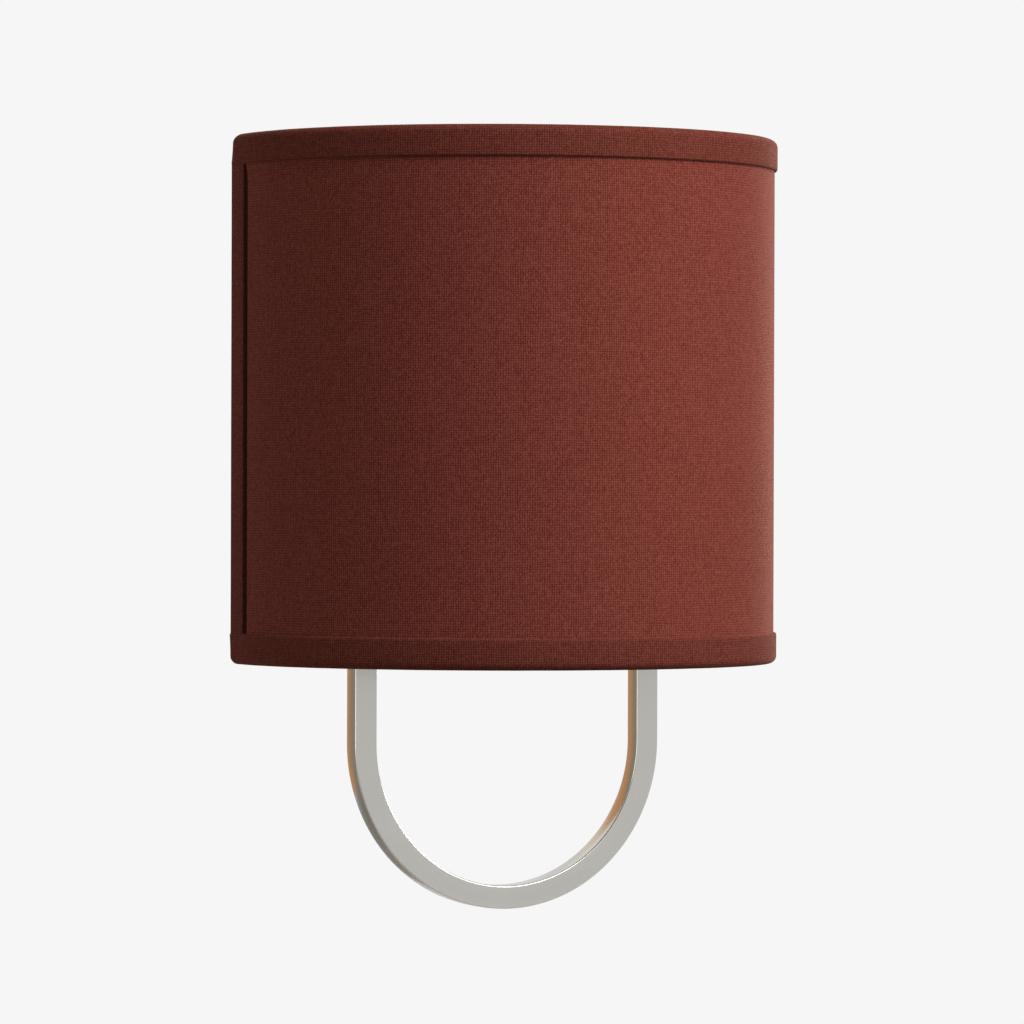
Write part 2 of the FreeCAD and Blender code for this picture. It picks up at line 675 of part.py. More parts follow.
hooks = []
rivets = []
for number, place_x in enumerate(hook_places):
    hook = new_body(f"shade_hook_{number}", place_x, 0, 0)
    strip = new_sketch(hook, "YZ_Plane", f"hook_strip_{number}")
    draw_outline(strip, [
        (riser_back, saddle_level),
        (riser_front, saddle_level),
        (lip_back, saddle_level, wire_y, saddle_level, -1),
        (lip_back, wire_level + size.hook_lip),
        (lip_front, wire_level + size.hook_lip),
        (lip_front, saddle_level),
        (wire_y, saddle_level - saddle_radius - size.hook_sheet, wire_y, saddle_level, 1),
        (riser_front, saddle_level - saddle_radius - size.hook_sheet),
        (riser_front, pan_top + size.hook_sheet),
        (riser_back - size.hook_foot, pan_top + size.hook_sheet),
        (riser_back - size.hook_foot, pan_top),
        (riser_back - foot_bend, pan_top),
        (riser_back, pan_top + foot_bend, riser_back - foot_bend, pan_top + foot_bend, 1),
    ])
    extrude(hook, "Pad", strip, size.hook_wide, both_ways=True)
    foot_hole = new_sketch(hook, "XY_Plane", f"hook_hole_{number}", pan_top)
    draw_circle(foot_hole, 0, rivet_y, size.rivet_across / 2)
    extrude(hook, "Pocket", foot_hole, size.hook_sheet * 3, both_ways=True)
    hooks.append(hook)
    head = size.rivet_head_across / 2
    rivets.append(turned_body(f"hook_rivet_{number}", "XZ_Plane", [
        (0, -(size.pan_sheet + size.rivet_tail_tall)),
        (head * 0.8, -(size.pan_sheet + size.rivet_tail_tall)),
        (head * 0.8, -size.pan_sheet),
        (size.rivet_across / 2, -size.pan_sheet),
        (size.rivet_across / 2, size.hook_sheet),
        (head, size.hook_sheet),
        (head * 0.4, size.hook_sheet + size.rivet_head_tall),
        (0, size.hook_sheet + size.rivet_head_tall),
    ], place_x, rivet_y, pan_top))
nodes += [collect("shade_hooks", hooks), collect("hook_rivets", rivets)]

# ---------------------------------------------------------------------------------------------- lamp arm
# A tube that comes out of the pan, bends up and carries the lampholder. The leads run inside it.
lamp_y = -size.lamp_out
arm_start_y = -(size.pan_depth - size.arm_inside)
holder_foot = -size.holder_foot_down
neck_top = holder_foot + size.holder_neck_tall
arm_top = neck_top + size.holder_cap_sheet
arm_run = size.lamp_out - size.arm_bend + arm_start_y

lamp_arm = new_body("lamp_arm", 0, arm_start_y, -size.arm_down)
arm_section = new_sketch(lamp_arm, "XZ_Plane", "arm_section")
draw_circle(arm_section, 0, 0, size.arm_across / 2)
draw_circle(arm_section, 0, 0, size.arm_bore / 2)
arm_line = new_sketch(lamp_arm, "YZ_Plane", "arm_line")
bend_start = FreeCAD.Vector(-arm_run.number, 0, 0)
bend_middle = FreeCAD.Vector(-arm_run.number, size.arm_bend.number, 0)
arm_rise = arm_top + size.arm_down
arm_line.addGeometry(Part.LineSegment(FreeCAD.Vector(0, 0, 0), bend_start), False)
bend_circle = Part.Circle(bend_middle, FreeCAD.Vector(0, 0, 1), size.arm_bend.number)
arm_line.addGeometry(Part.ArcOfCircle(bend_circle, math.pi, 1.5 * math.pi), False)
bend_end = FreeCAD.Vector(-(arm_run + size.arm_bend).number, size.arm_bend.number, 0)
arm_line.addGeometry(Part.LineSegment(bend_end, FreeCAD.Vector(bend_end.x, arm_rise.number, 0)), False)
arm_line.addConstraint(Sketcher.Constraint("Coincident", 0, 1, -1, 1))
arm_line.addConstraint(Sketcher.Constraint("Horizontal", 0))
arm_line.addConstraint(Sketcher.Constraint("Tangent", 0, 2, 1, 2))
arm_line.addConstraint(Sketcher.Constraint("Tangent", 1, 1, 2, 1))
arm_line.addConstraint(Sketcher.Constraint("Vertical", 2))
hold(arm_line, "Radius", (1,), size.arm_bend)
hold(arm_line, "DistanceX", (-1, 1, 2, 2), -(arm_run + size.arm_bend))
hold(arm_line, "DistanceY", (-1, 1, 2, 2), arm_rise)
arm_tube = lamp_arm.newObject("PartDesign::AdditivePipe", "arm_tube")
arm_tube.Profile = arm_section
arm_tube.Spine = (arm_line, ["Edge1", "Edge2", "Edge3"])
doc.recompute()

collar_radius = size.collar_across / 2
arm_collar = turned_body("arm_collar", "XY_Plane", [
    (size.arm_across / 2, 0),
    (collar_radius, 0),
    (collar_radius, -size.collar_thick * 0.4),
    (collar_radius - size.collar_thick * 0.6, -size.collar_thick,
     collar_radius - size.collar_thick * 0.6, -size.collar_thick * 0.4, -1),
    (size.arm_across / 2, -size.collar_thick),
], 0, -size.pan_depth, -size.arm_down)
arm_lock_nut = hex_nut("arm_lock_nut", 0, pan_inner_y + size.arm_nut_thick, -size.arm_down,
                       size.arm_nut_flats, size.arm_across, size.arm_nut_thick)
nodes += [lamp_arm, arm_collar, arm_lock_nut]

# ---------------------------------------------------------------------------------------------- lampholder
# A metal cap screwed on the arm and a metal shell round an insulating sleeve, with the live pieces inside.
cap_outer = size.holder_across / 2
cap_inner = cap_outer - size.holder_cap_sheet
dome_level = neck_top + size.holder_dome
dome_middle = cap_outer - size.holder_dome
dome_inner_radius = size.holder_dome - size.holder_cap_sheet
block_top = dome_level + size.block_thick
holder_rim = holder_foot + size.holder_rim
shell_inner = cap_inner - size.holder_shell_sheet
sleeve_inner = shell_inner - size.sleeve_sheet
screw_shell_inner = size.bulb_cap_across / 2 + size.screw_shell_ease
lead_radius = size.lead_across / 2

holder_cap = turned_body("holder_cap", "XZ_Plane", [
    (size.arm_across / 2, holder_foot),
    (size.holder_neck_across / 2, holder_foot),
    (size.holder_neck_across / 2, neck_top),
    (dome_middle, neck_top),
    (cap_outer, dome_level, dome_middle, dome_level, 1),
    (cap_outer, holder_foot + size.holder_cap_rim),
    (cap_inner, holder_foot + size.holder_cap_rim),
    (cap_inner, dome_level),
    (dome_middle, neck_top + size.holder_cap_sheet, dome_middle, dome_level, -1),
    (size.arm_across / 2, neck_top + size.holder_cap_sheet),
], 0, lamp_y, 0)

bead_middle = cap_inner - size.holder_shell_sheet + size.holder_bead
holder_shell = turned_body("holder_shell", "XZ_Plane", [
    (shell_inner, block_top),
    (cap_inner, block_top),
    (cap_inner, holder_rim - size.holder_bead),
    (bead_middle + size.holder_bead, holder_rim - size.holder_bead),
    (shell_inner, holder_rim - size.holder_bead, bead_middle, holder_rim - size.holder_bead, 1),
], 0, lamp_y, 0)

insulating_sleeve = turned_body("insulating_sleeve", "XZ_Plane", [
    (sleeve_inner, block_top),
    (shell_inner, block_top),
    (shell_inner, holder_rim - size.holder_bead - size.sleeve_short),
    (sleeve_inner, holder_rim - size.holder_bead - size.sleeve_short),
], 0, lamp_y, 0)

block_boss_top = block_top + size.block_boss_tall
holder_block = turned_body("holder_block", "XZ_Plane", [
    (0, dome_level),
    (cap_inner, dome_level),
    (cap_inner, block_top),
    (screw_shell_inner, block_top),
    (screw_shell_inner, block_boss_top),
    (0, block_boss_top),
], 0, lamp_y, 0)
lead_holes = new_sketch(holder_block, "XY_Plane", "lead_holes", dome_level)
for hand in (-1, 1):
    draw_circle(lead_holes, size.lead_apart / 2 * hand, 0, lead_radius)
extrude(holder_block, "Pocket", lead_holes, size.block_thick, reverse=True)

screw_shell = turned_body("screw_shell", "XZ_Plane", [
    (screw_shell_inner, block_top),
    (screw_shell_inner + size.screw_shell_sheet, block_top),
    (screw_shell_inner + size.screw_shell_sheet, holder_rim - size.holder_bead - size.sleeve_short),
    (screw_shell_inner, holder_rim - size.holder_bead - size.sleeve_short),
], 0, lamp_y, 0)

tongue_top = block_boss_top + size.tongue_rise
centre_contact = new_body("centre_contact", 0, lamp_y, 0)
tongue_side = new_sketch(centre_contact, "XZ_Plane", "tongue_side")
foot_end = size.tongue_foot / 2
land_end = size.tongue_land / 2
draw_outline(tongue_side, [
    (-foot_end, block_boss_top),
    (foot_end, block_boss_top),
    (foot_end, block_boss_top + size.tongue_sheet),
    (-(foot_end - size.tongue_sheet * 2), block_boss_top + size.tongue_sheet),
    (-land_end, tongue_top - size.tongue_sheet),
    (land_end, tongue_top - size.tongue_sheet),
    (land_end, tongue_top),
    (-land_end, tongue_top),
    (-foot_end, block_boss_top + size.tongue_sheet),
])
extrude(centre_contact, "Pad", tongue_side, size.tongue_wide, both_ways=True)
nodes += [holder_cap, holder_shell, insulating_sleeve, holder_block, screw_shell, centre_contact]


# ---------------------------------------------------------------------------------------------- leads
# The two leads go down the arm, turn sideways inside the pan and end in twist-on connectors.
def lead(label, hand):
    """One lead: straight runs joined by tangent arcs, swept with its round section."""
    x = size.lead_apart.number / 2 * hand
    down = -size.arm_down.number
    bend = size.arm_bend.number
    turn = size.lead_turn.number
    turn_y = arm_start_y.number
    lean = math.sqrt(0.5)
    path_points = [
        FreeCAD.Vector(x, lamp_y.number, block_top.number),
        FreeCAD.Vector(x, lamp_y.number, down + bend),
        FreeCAD.Vector(x, lamp_y.number + bend * (1 - lean), down + bend * (1 - lean)),
        FreeCAD.Vector(x, lamp_y.number + bend, down),
        FreeCAD.Vector(x, turn_y, down),
        FreeCAD.Vector(x + turn * (1 - lean) * hand, turn_y + turn * lean, down),
        FreeCAD.Vector(x + turn * hand, turn_y + turn, down),
        FreeCAD.Vector(size.lead_reach.number * hand, turn_y + turn, down),
    ]
    path = Part.Wire([
        Part.LineSegment(path_points[0], path_points[1]).toShape(),
        Part.Arc(path_points[1], path_points[2], path_points[3]).toShape(),
        Part.LineSegment(path_points[3], path_points[4]).toShape(),
        Part.Arc(path_points[4], path_points[5], path_points[6]).toShape(),
        Part.LineSegment(path_points[6], path_points[7]).toShape(),
    ])
    circle = Part.makeCircle(lead_radius.number, path_points[0], FreeCAD.Vector(0, 0, 1))
    item = doc.addObject("Part::Feature", label)
    item.Label = label
    item.Shape = path.makePipeShell([Part.Wire([circle])], True, False)
    expected = math.pi * lead_radius.number ** 2 * path.Length
    print(f"{label}: {path.Length:.1f} mm long, volume {item.Shape.Volume:.1f} of {expected:.1f} mm3")
    return item


connectors = []
for hand in (-1, 1):
    connector = new_body(f"wire_connector_{'left' if hand < 0 else 'right'}",
                         (size.lead_reach - size.connector_grip) * hand,
                         arm_start_y + size.lead_turn, -size.arm_down)
    skirt = new_sketch(connector, "XY_Plane", f"{connector.Name}_outline")
    mouth = size.connector_across / 2
    closed = size.connector_end_across / 2
    draw_outline(skirt, [
        (0, lead_radius),
        (0, mouth),
        (size.connector_length * 0.35 * hand, mouth),
        (size.connector_length * hand, closed),
        (size.connector_length * hand, 0),
        (size.connector_grip * hand, 0),
        (size.connector_grip * hand, lead_radius),
    ])
    turned = connector.newObject("PartDesign::Revolution", f"{connector.Name}_turned")
    turned.Profile = skirt
    turned.ReferenceAxis = (skirt, ["H_Axis"])
    turned.Angle = 360
    doc.recompute()
    connectors.append(connector)
nodes += [lead("black_lead", -1), lead("white_lead", 1), collect("wire_connectors", connectors)]

# ---------------------------------------------------------------------------------------------- bulb
# A pear-shaped bulb in the lampholder: glass envelope, screw cap, black glass base and tip contact.
bulb_tip = tongue_top + size.bulb_gap
bulb_crown = bulb_tip + size.bulb_length
base_level = bulb_tip + size.bulb_tip_tall
cap_level = base_level + size.bulb_base_tall
cap_top = cap_level + size.bulb_cap_tall
bulb_cap_radius = size.bulb_cap_across / 2
globe_radius = size.bulb_across / 2
globe_level = bulb_crown - globe_radius
neck_radius = size.bulb_neck_across / 2
shoulder_x = neck_radius + size.bulb_shoulder
reach = globe_radius + size.bulb_shoulder
shoulder_level = globe_level - root_of(reach * reach - shoulder_x * shoulder_x)


def globe_outline(skin):
    """Points where the neck, the hollow shoulder and the globe meet, drawn skin inside the outer face."""
    globe = globe_radius - skin
    meet_x = shoulder_x * globe / reach
    meet_z = globe_level - (globe_level - shoulder_level) * globe / reach
    return meet_x, meet_z, globe


outer_x, outer_z, _ = globe_outline(as_size(0))
inner_x, inner_z, inner_globe = globe_outline(size.bulb_glass)
bulb_glass = turned_body("bulb_glass", "XZ_Plane", [
    (neck_radius - size.bulb_glass, cap_top),
    (neck_radius, cap_top),
    (neck_radius, shoulder_level),
    (outer_x, outer_z, shoulder_x, shoulder_level, -1),
    (0, bulb_crown, 0, globe_level, 1),
    (0, bulb_crown - size.bulb_glass),
    (inner_x, inner_z, 0, globe_level, -1),
    (neck_radius - size.bulb_glass, shoulder_level, shoulder_x, shoulder_level, 1),
], 0, lamp_y, 0)

chamfer = size.bulb_cap_turn_in
bulb_cap = turned_body("bulb_cap", "XZ_Plane", [
    (bulb_cap_radius - chamfer - size.bulb_cap_sheet, cap_level),
    (bulb_cap_radius - chamfer, cap_level),
    (bulb_cap_radius, cap_level + chamfer),
    (bulb_cap_radius, cap_top),
    (bulb_cap_radius - size.bulb_cap_sheet, cap_top),
    (bulb_cap_radius - size.bulb_cap_sheet, cap_level + chamfer),
], 0, lamp_y, 0)

bulb_base = turned_body("bulb_base", "XZ_Plane", [
    (0, base_level),
    (size.bulb_tip_across / 2, base_level),
    (bulb_cap_radius - chamfer, cap_level),
    (0, cap_level),
], 0, lamp_y, 0)

bulb_contact = turned_body("bulb_contact", "XZ_Plane", [
    (0, bulb_tip),
    (size.bulb_tip_across / 4, bulb_tip),
    (size.bulb_tip_across / 2, base_level - size.bulb_tip_tall / 4),
    (size.bulb_tip_across / 2, base_level),
    (0, base_level),
], 0, lamp_y, 0)
nodes += [bulb_glass, bulb_cap, bulb_base, bulb_contact]

# ---------------------------------------------------------------------------------------------- check and write
doc.recompute()
failed = [item.Name for item in doc.Objects if {"Invalid", "Error"} & set(item.State)]
if failed:
    raise ValueError(f"these objects failed: {failed}")
os.makedirs("parts", exist_ok=True)
for node in nodes:
    shape = node.Shape
    if shape.isNull() or not shape.isValid() or not shape.Solids:
        raise ValueError(f"{node.Label} has no sound solid")
    box = shape.BoundBox
    print(f"{node.Label:18} {len(shape.Solids)} solid(s) {shape.Volume:10.1f} mm3  "
          f"x {box.XMin:8.2f} {box.XMax:8.2f}  y {box.YMin:8.2f} {box.YMax:8.2f}  z {box.ZMin:8.2f} {box.ZMax:8.2f}")
    shape.exportStep(f"parts/{node.Label}.step")
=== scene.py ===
import math

import bmesh
import bpy
from mathutils import Matrix, Quaternion, Vector


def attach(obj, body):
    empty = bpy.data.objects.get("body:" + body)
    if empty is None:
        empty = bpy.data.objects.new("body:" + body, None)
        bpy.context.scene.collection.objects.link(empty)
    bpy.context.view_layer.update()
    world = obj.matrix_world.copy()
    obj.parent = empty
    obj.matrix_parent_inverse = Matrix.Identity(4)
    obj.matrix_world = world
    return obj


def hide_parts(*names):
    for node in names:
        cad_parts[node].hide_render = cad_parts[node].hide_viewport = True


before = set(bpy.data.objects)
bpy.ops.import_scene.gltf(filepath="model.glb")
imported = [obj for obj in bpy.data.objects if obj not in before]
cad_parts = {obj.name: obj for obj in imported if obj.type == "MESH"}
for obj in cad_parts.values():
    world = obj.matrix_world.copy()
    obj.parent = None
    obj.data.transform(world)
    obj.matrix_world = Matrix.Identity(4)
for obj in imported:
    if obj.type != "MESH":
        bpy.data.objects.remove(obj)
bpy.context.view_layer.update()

# ------------------------------------------------------------------------------------------------------- camera
# The view of the photograph: level with the middle of the shade, 25 degrees to its left, through a long lens
# from 2.4 m away, and leaned by a sixth of a degree.
AXIS_Y = -0.0142  # the round front's axis
VIEW_TURN = math.radians(-25.0)
VIEW_AWAY = 2.368
VIEW_LEAN = math.radians(0.16)
LENS = 200.9
EYE_Z, AIM_Z = -0.0345, -0.0458
AIM_RIGHT = 0.00595

scene = bpy.context.scene
towards = Vector((-math.sin(VIEW_TURN), math.cos(VIEW_TURN), 0))
sideways = Vector((math.cos(VIEW_TURN), math.sin(VIEW_TURN), 0))
camera_data = bpy.data.cameras.new("camera")
camera_data.sensor_width = 36
camera_data.lens = LENS
camera_data.clip_start = 0.1
camera_data.clip_end = 50
camera = bpy.data.objects.new("camera", camera_data)
camera.location = Vector((0, AXIS_Y, EYE_Z)) - towards * VIEW_AWAY
aim = Vector((0, AXIS_Y, AIM_Z)) + sideways * AIM_RIGHT
camera.rotation_mode = "QUATERNION"
looking = (aim - camera.location).to_track_quat("-Z", "Y")
camera.rotation_quaternion = looking @ Quaternion((0, 0, 1), VIEW_LEAN)
scene.collection.objects.link(camera)
scene.camera = camera

# --------------------------------------------------------------------------------------- room, floor and lights
# A pale studio: an even background, a floor disc below the light that fades into it, a big soft box in front
# at the right, a weak one at the left and a small one behind at the right, and glowing boards that only the
# metal mirrors, which paint reflections on it.
BACKGROUND = (0.9216, 0.9216, 0.9216, 1)
AMBIENT = 0.155
FLOOR_Z, FLOOR_R = -0.46, 1.6
FLOOR_CLEAR, FLOOR_GONE = 0.35, 1.5  # how far out the floor begins to fade, and has faded
FLOOR_BOUNCE = 0.05  # the share of its light that it throws back at the wall light


def add(tree, kind, feeds=(), **settings):
    """Adds a node; feeds gives each input, by its name or number, a value or the socket that feeds it."""
    node = tree.nodes.new(kind)
    for key, value in settings.items():
        setattr(node, key, value)
    for key, value in dict(feeds).items():
        if isinstance(value, bpy.types.NodeSocket):
            tree.links.new(value, node.inputs[key])
        else:
            node.inputs[key].default_value = value
    return node


def calc(tree, operation, a, b=0.0, c=0.0):
    """The result of one sum on numbers or sockets."""
    return add(tree, "ShaderNodeMath", {0: a, 1: b, 2: c}, operation=operation).outputs[0]


def seen_directly(tree):
    """1 for camera, glossy and transmission rays, which see the plain background."""
    rays = add(tree, "ShaderNodeLightPath").outputs
    total = calc(tree, "ADD", rays["Is Camera Ray"], rays["Is Glossy Ray"])
    total = calc(tree, "ADD", total, rays["Is Transmission Ray"])
    return calc(tree, "MINIMUM", total, 1.0)


scene.view_settings.view_transform = "Standard"
world = bpy.data.worlds.new("studio")
world.use_nodes = True
scene.world = world
room = world.node_tree
room.nodes.clear()
ambient = add(room, "ShaderNodeBackground", {"Color": (1.0, 0.97, 0.93, 1), "Strength": AMBIENT})
backdrop = add(room, "ShaderNodeBackground", {"Color": BACKGROUND, "Strength": 1.0})
both = add(room, "ShaderNodeMixShader", {0: seen_directly(room), 1: ambient.outputs[0], 2: backdrop.outputs[0]})
add(room, "ShaderNodeOutputWorld", {"Surface": both.outputs[0]})


def bare_material(label, mesh):
    """Gives the mesh a material without a shader, and returns its empty tree."""
    material = bpy.data.materials.new(label)
    material.use_nodes = True
    material.node_tree.nodes.clear()
    mesh.materials.append(material)
    return material.node_tree


floor_mesh = bpy.data.meshes.new("floor")
ring = bmesh.new()
bmesh.ops.create_circle(ring, cap_ends=True, segments=96, radius=FLOOR_R)
ring.to_mesh(floor_mesh)
ring.free()
floor_mesh.transform(Matrix.Translation((0, 0, FLOOR_Z)))
floor = bpy.data.objects.new("floor", floor_mesh)
scene.collection.objects.link(floor)
tree = bare_material("floor_paint", floor_mesh)
place = add(tree, "ShaderNodeTexCoord").outputs["Object"]
flat = add(tree, "ShaderNodeVectorMath", {0: place, 1: (1, 1, 0)}, operation="MULTIPLY").outputs[0]
out = add(tree, "ShaderNodeVectorMath", {0: flat}, operation="LENGTH").outputs["Value"]
fade = add(tree, "ShaderNodeMapRange", {0: out, 1: FLOOR_CLEAR, 2: FLOOR_GONE, 3: 1.0, 4: 0.0},
           interpolation_type="SMOOTHSTEP").outputs[0]
chalk = add(tree, "ShaderNodeBsdfDiffuse", {"Color": (0.75, 0.75, 0.75, 1)})
clear = add(tree, "ShaderNodeBsdfTransparent")
bounce = add(tree, "ShaderNodeLightPath").outputs["Is Diffuse Ray"]
fade = calc(tree, "MULTIPLY", fade, calc(tree, "MULTIPLY_ADD", bounce, FLOOR_BOUNCE - 1.0, 1.0))
above = calc(tree, "SUBTRACT", 1.0, add(tree, "ShaderNodeNewGeometry").outputs["Backfacing"])
fade = calc(tree, "MULTIPLY", fade, above)
both = add(tree, "ShaderNodeMixShader", {0: fade, 1: clear.outputs[0], 2: chalk.outputs[0]})
add(tree, "ShaderNodeOutputMaterial", {"Surface": both.outputs[0]})


def soft_box(label, azimuth, elevation, away, size, power, colour):
    """A square area light that faces the shade. Azimuth 0 is straight in front, 90 is the right side."""
    a, e = math.radians(azimuth), math.radians(elevation)
    lamp = bpy.data.lights.new(label, "AREA")
    lamp.shape = "SQUARE"
    lamp.size = size
    lamp.energy = power
    lamp.color = colour
    holder = bpy.data.objects.new(label, lamp)
    direction = Vector((math.sin(a) * math.cos(e), -math.cos(a) * math.cos(e), math.sin(e)))
    holder.location = direction * away
    holder.rotation_mode = "QUATERNION"
    holder.rotation_quaternion = direction.to_track_quat("Z", "Y")
    holder.visible_camera = False
    scene.collection.objects.link(holder)


soft_box("key", 32, 35, 1.6, 1.35, 37.5, (1.0, 0.985, 0.96))
soft_box("fill", -105, 5, 2.4, 1.2, 11, (1.0, 0.96, 0.91))
soft_box("rim", 125, 10, 2.2, 0.8, 30, (1.0, 0.92, 0.87))

# glowing boards that the camera, diffuse light and shadows pass by, painted reflections for the bar's sides: a
# brown to orange one that goes on in peach, a near grey one for the underside of the bend, and a white one
# above;
# X gives the first two their colours, Y and Z tell the others
tan_reflection_glow = [(-0.76, 0.86, -0.44), (-0.20, 1.12, -0.44), (-0.20, 1.12, 0.40), (-0.76, 0.86, 0.40)]
peach_reflection_glow = [(-0.20, 1.12, 0.12), (0.12, 1.12, 0.20), (0.12, 1.12, 0.40), (-0.20, 1.12, 0.40)]
grey_reflection_glow = [(-0.34, 0.45, -0.45), (0.06, 0.45, -0.45), (0.06, 0.45, -0.35), (-0.34, 0.45, -0.25)]
white_reflection_glow = [(-0.6, 1.2, 0.5), (0.5, 1.2, 0.5), (0.5, 1.2, 1.5), (-0.6, 1.2, 1.5)]
reflection_card_mesh = bpy.data.meshes.new("card")
reflection_card_mesh.from_pydata(tan_reflection_glow + peach_reflection_glow + grey_reflection_glow + white_reflection_glow, [],
                      [(i, i + 1, i + 2, i + 3) for i in (0, 4, 8, 12)])
card = bpy.data.objects.new("card", reflection_card_mesh)
# they are seen only in reflections: their glow is a painted reflection, not light
card.visible_camera = card.visible_diffuse = card.visible_shadow = False
scene.collection.objects.link(card)
tree = bare_material("card_board", reflection_card_mesh)
place = add(tree, "ShaderNodeTexCoord").outputs["Object"]
parts = add(tree, "ShaderNodeSeparateXYZ", {0: place}).outputs
to_orange = add(tree, "ShaderNodeMapRange", {0: parts[0], 1: -0.50, 2: -0.41}).outputs[0]
to_peach = add(tree, "ShaderNodeMapRange", {0: parts[0], 1: -0.22, 2: 0.0}).outputs[0]
is_near = calc(tree, "LESS_THAN", parts[1], 0.6)
is_upper = calc(tree, "GREATER_THAN", parts[2], 0.48)
tone = (0.35, 0.32, 0.255, 1)
for share, colour in ((to_orange, (0.80, 0.40, 0.17, 1)), (to_peach, (1.1, 0.93, 0.72, 1)),
                      (is_near, (0.31, 0.285, 0.25, 1)), (is_upper, (1.3, 1.27, 1.22, 1))):
    tone = add(tree, "ShaderNodeMix", {0: share, 6: tone, 7: colour}, data_type="RGBA").outputs[2]
# painted reflection: the glow that the metal mirrors
glow = add(tree, "ShaderNodeEmission", {"Color": tone})
add(tree, "ShaderNodeOutputMaterial", {"Surface": glow.outputs[0]})

# ------------------------------------------------------------------------------------------- linen of the shade
# A dark rust-red linen, bonded to the stiff liner and carried round the front and both short returns. Cut
# 210 x 380 mm. The cloth's two faces are one closed piece that goes under the trims.
SHADE_R = 0.1143
LINEN_THICK = 0.0006
LINEN_END = -0.00385  # where the cloth stops short of the wall, at the upright wires
WIRE_Z = 0.1048  # the ring wires' height, and the cut edges of the cloth


def new_tree(label, kind, sockets):
    """A node group with named sockets: (name, kind, default) in, and (name, kind) out."""
    group = bpy.data.node_groups.new(label, kind)
    for name, socket, *value in sockets:
        way = "INPUT" if value else "OUTPUT"
        made = group.interface.new_socket(name, in_out=way, socket_type="NodeSocket" + socket)
        if value and value[0] is not None:
            made.default_value = value[0]
    return group, group.nodes.new("NodeGroupInput").outputs, group.nodes.new("NodeGroupOutput").inputs


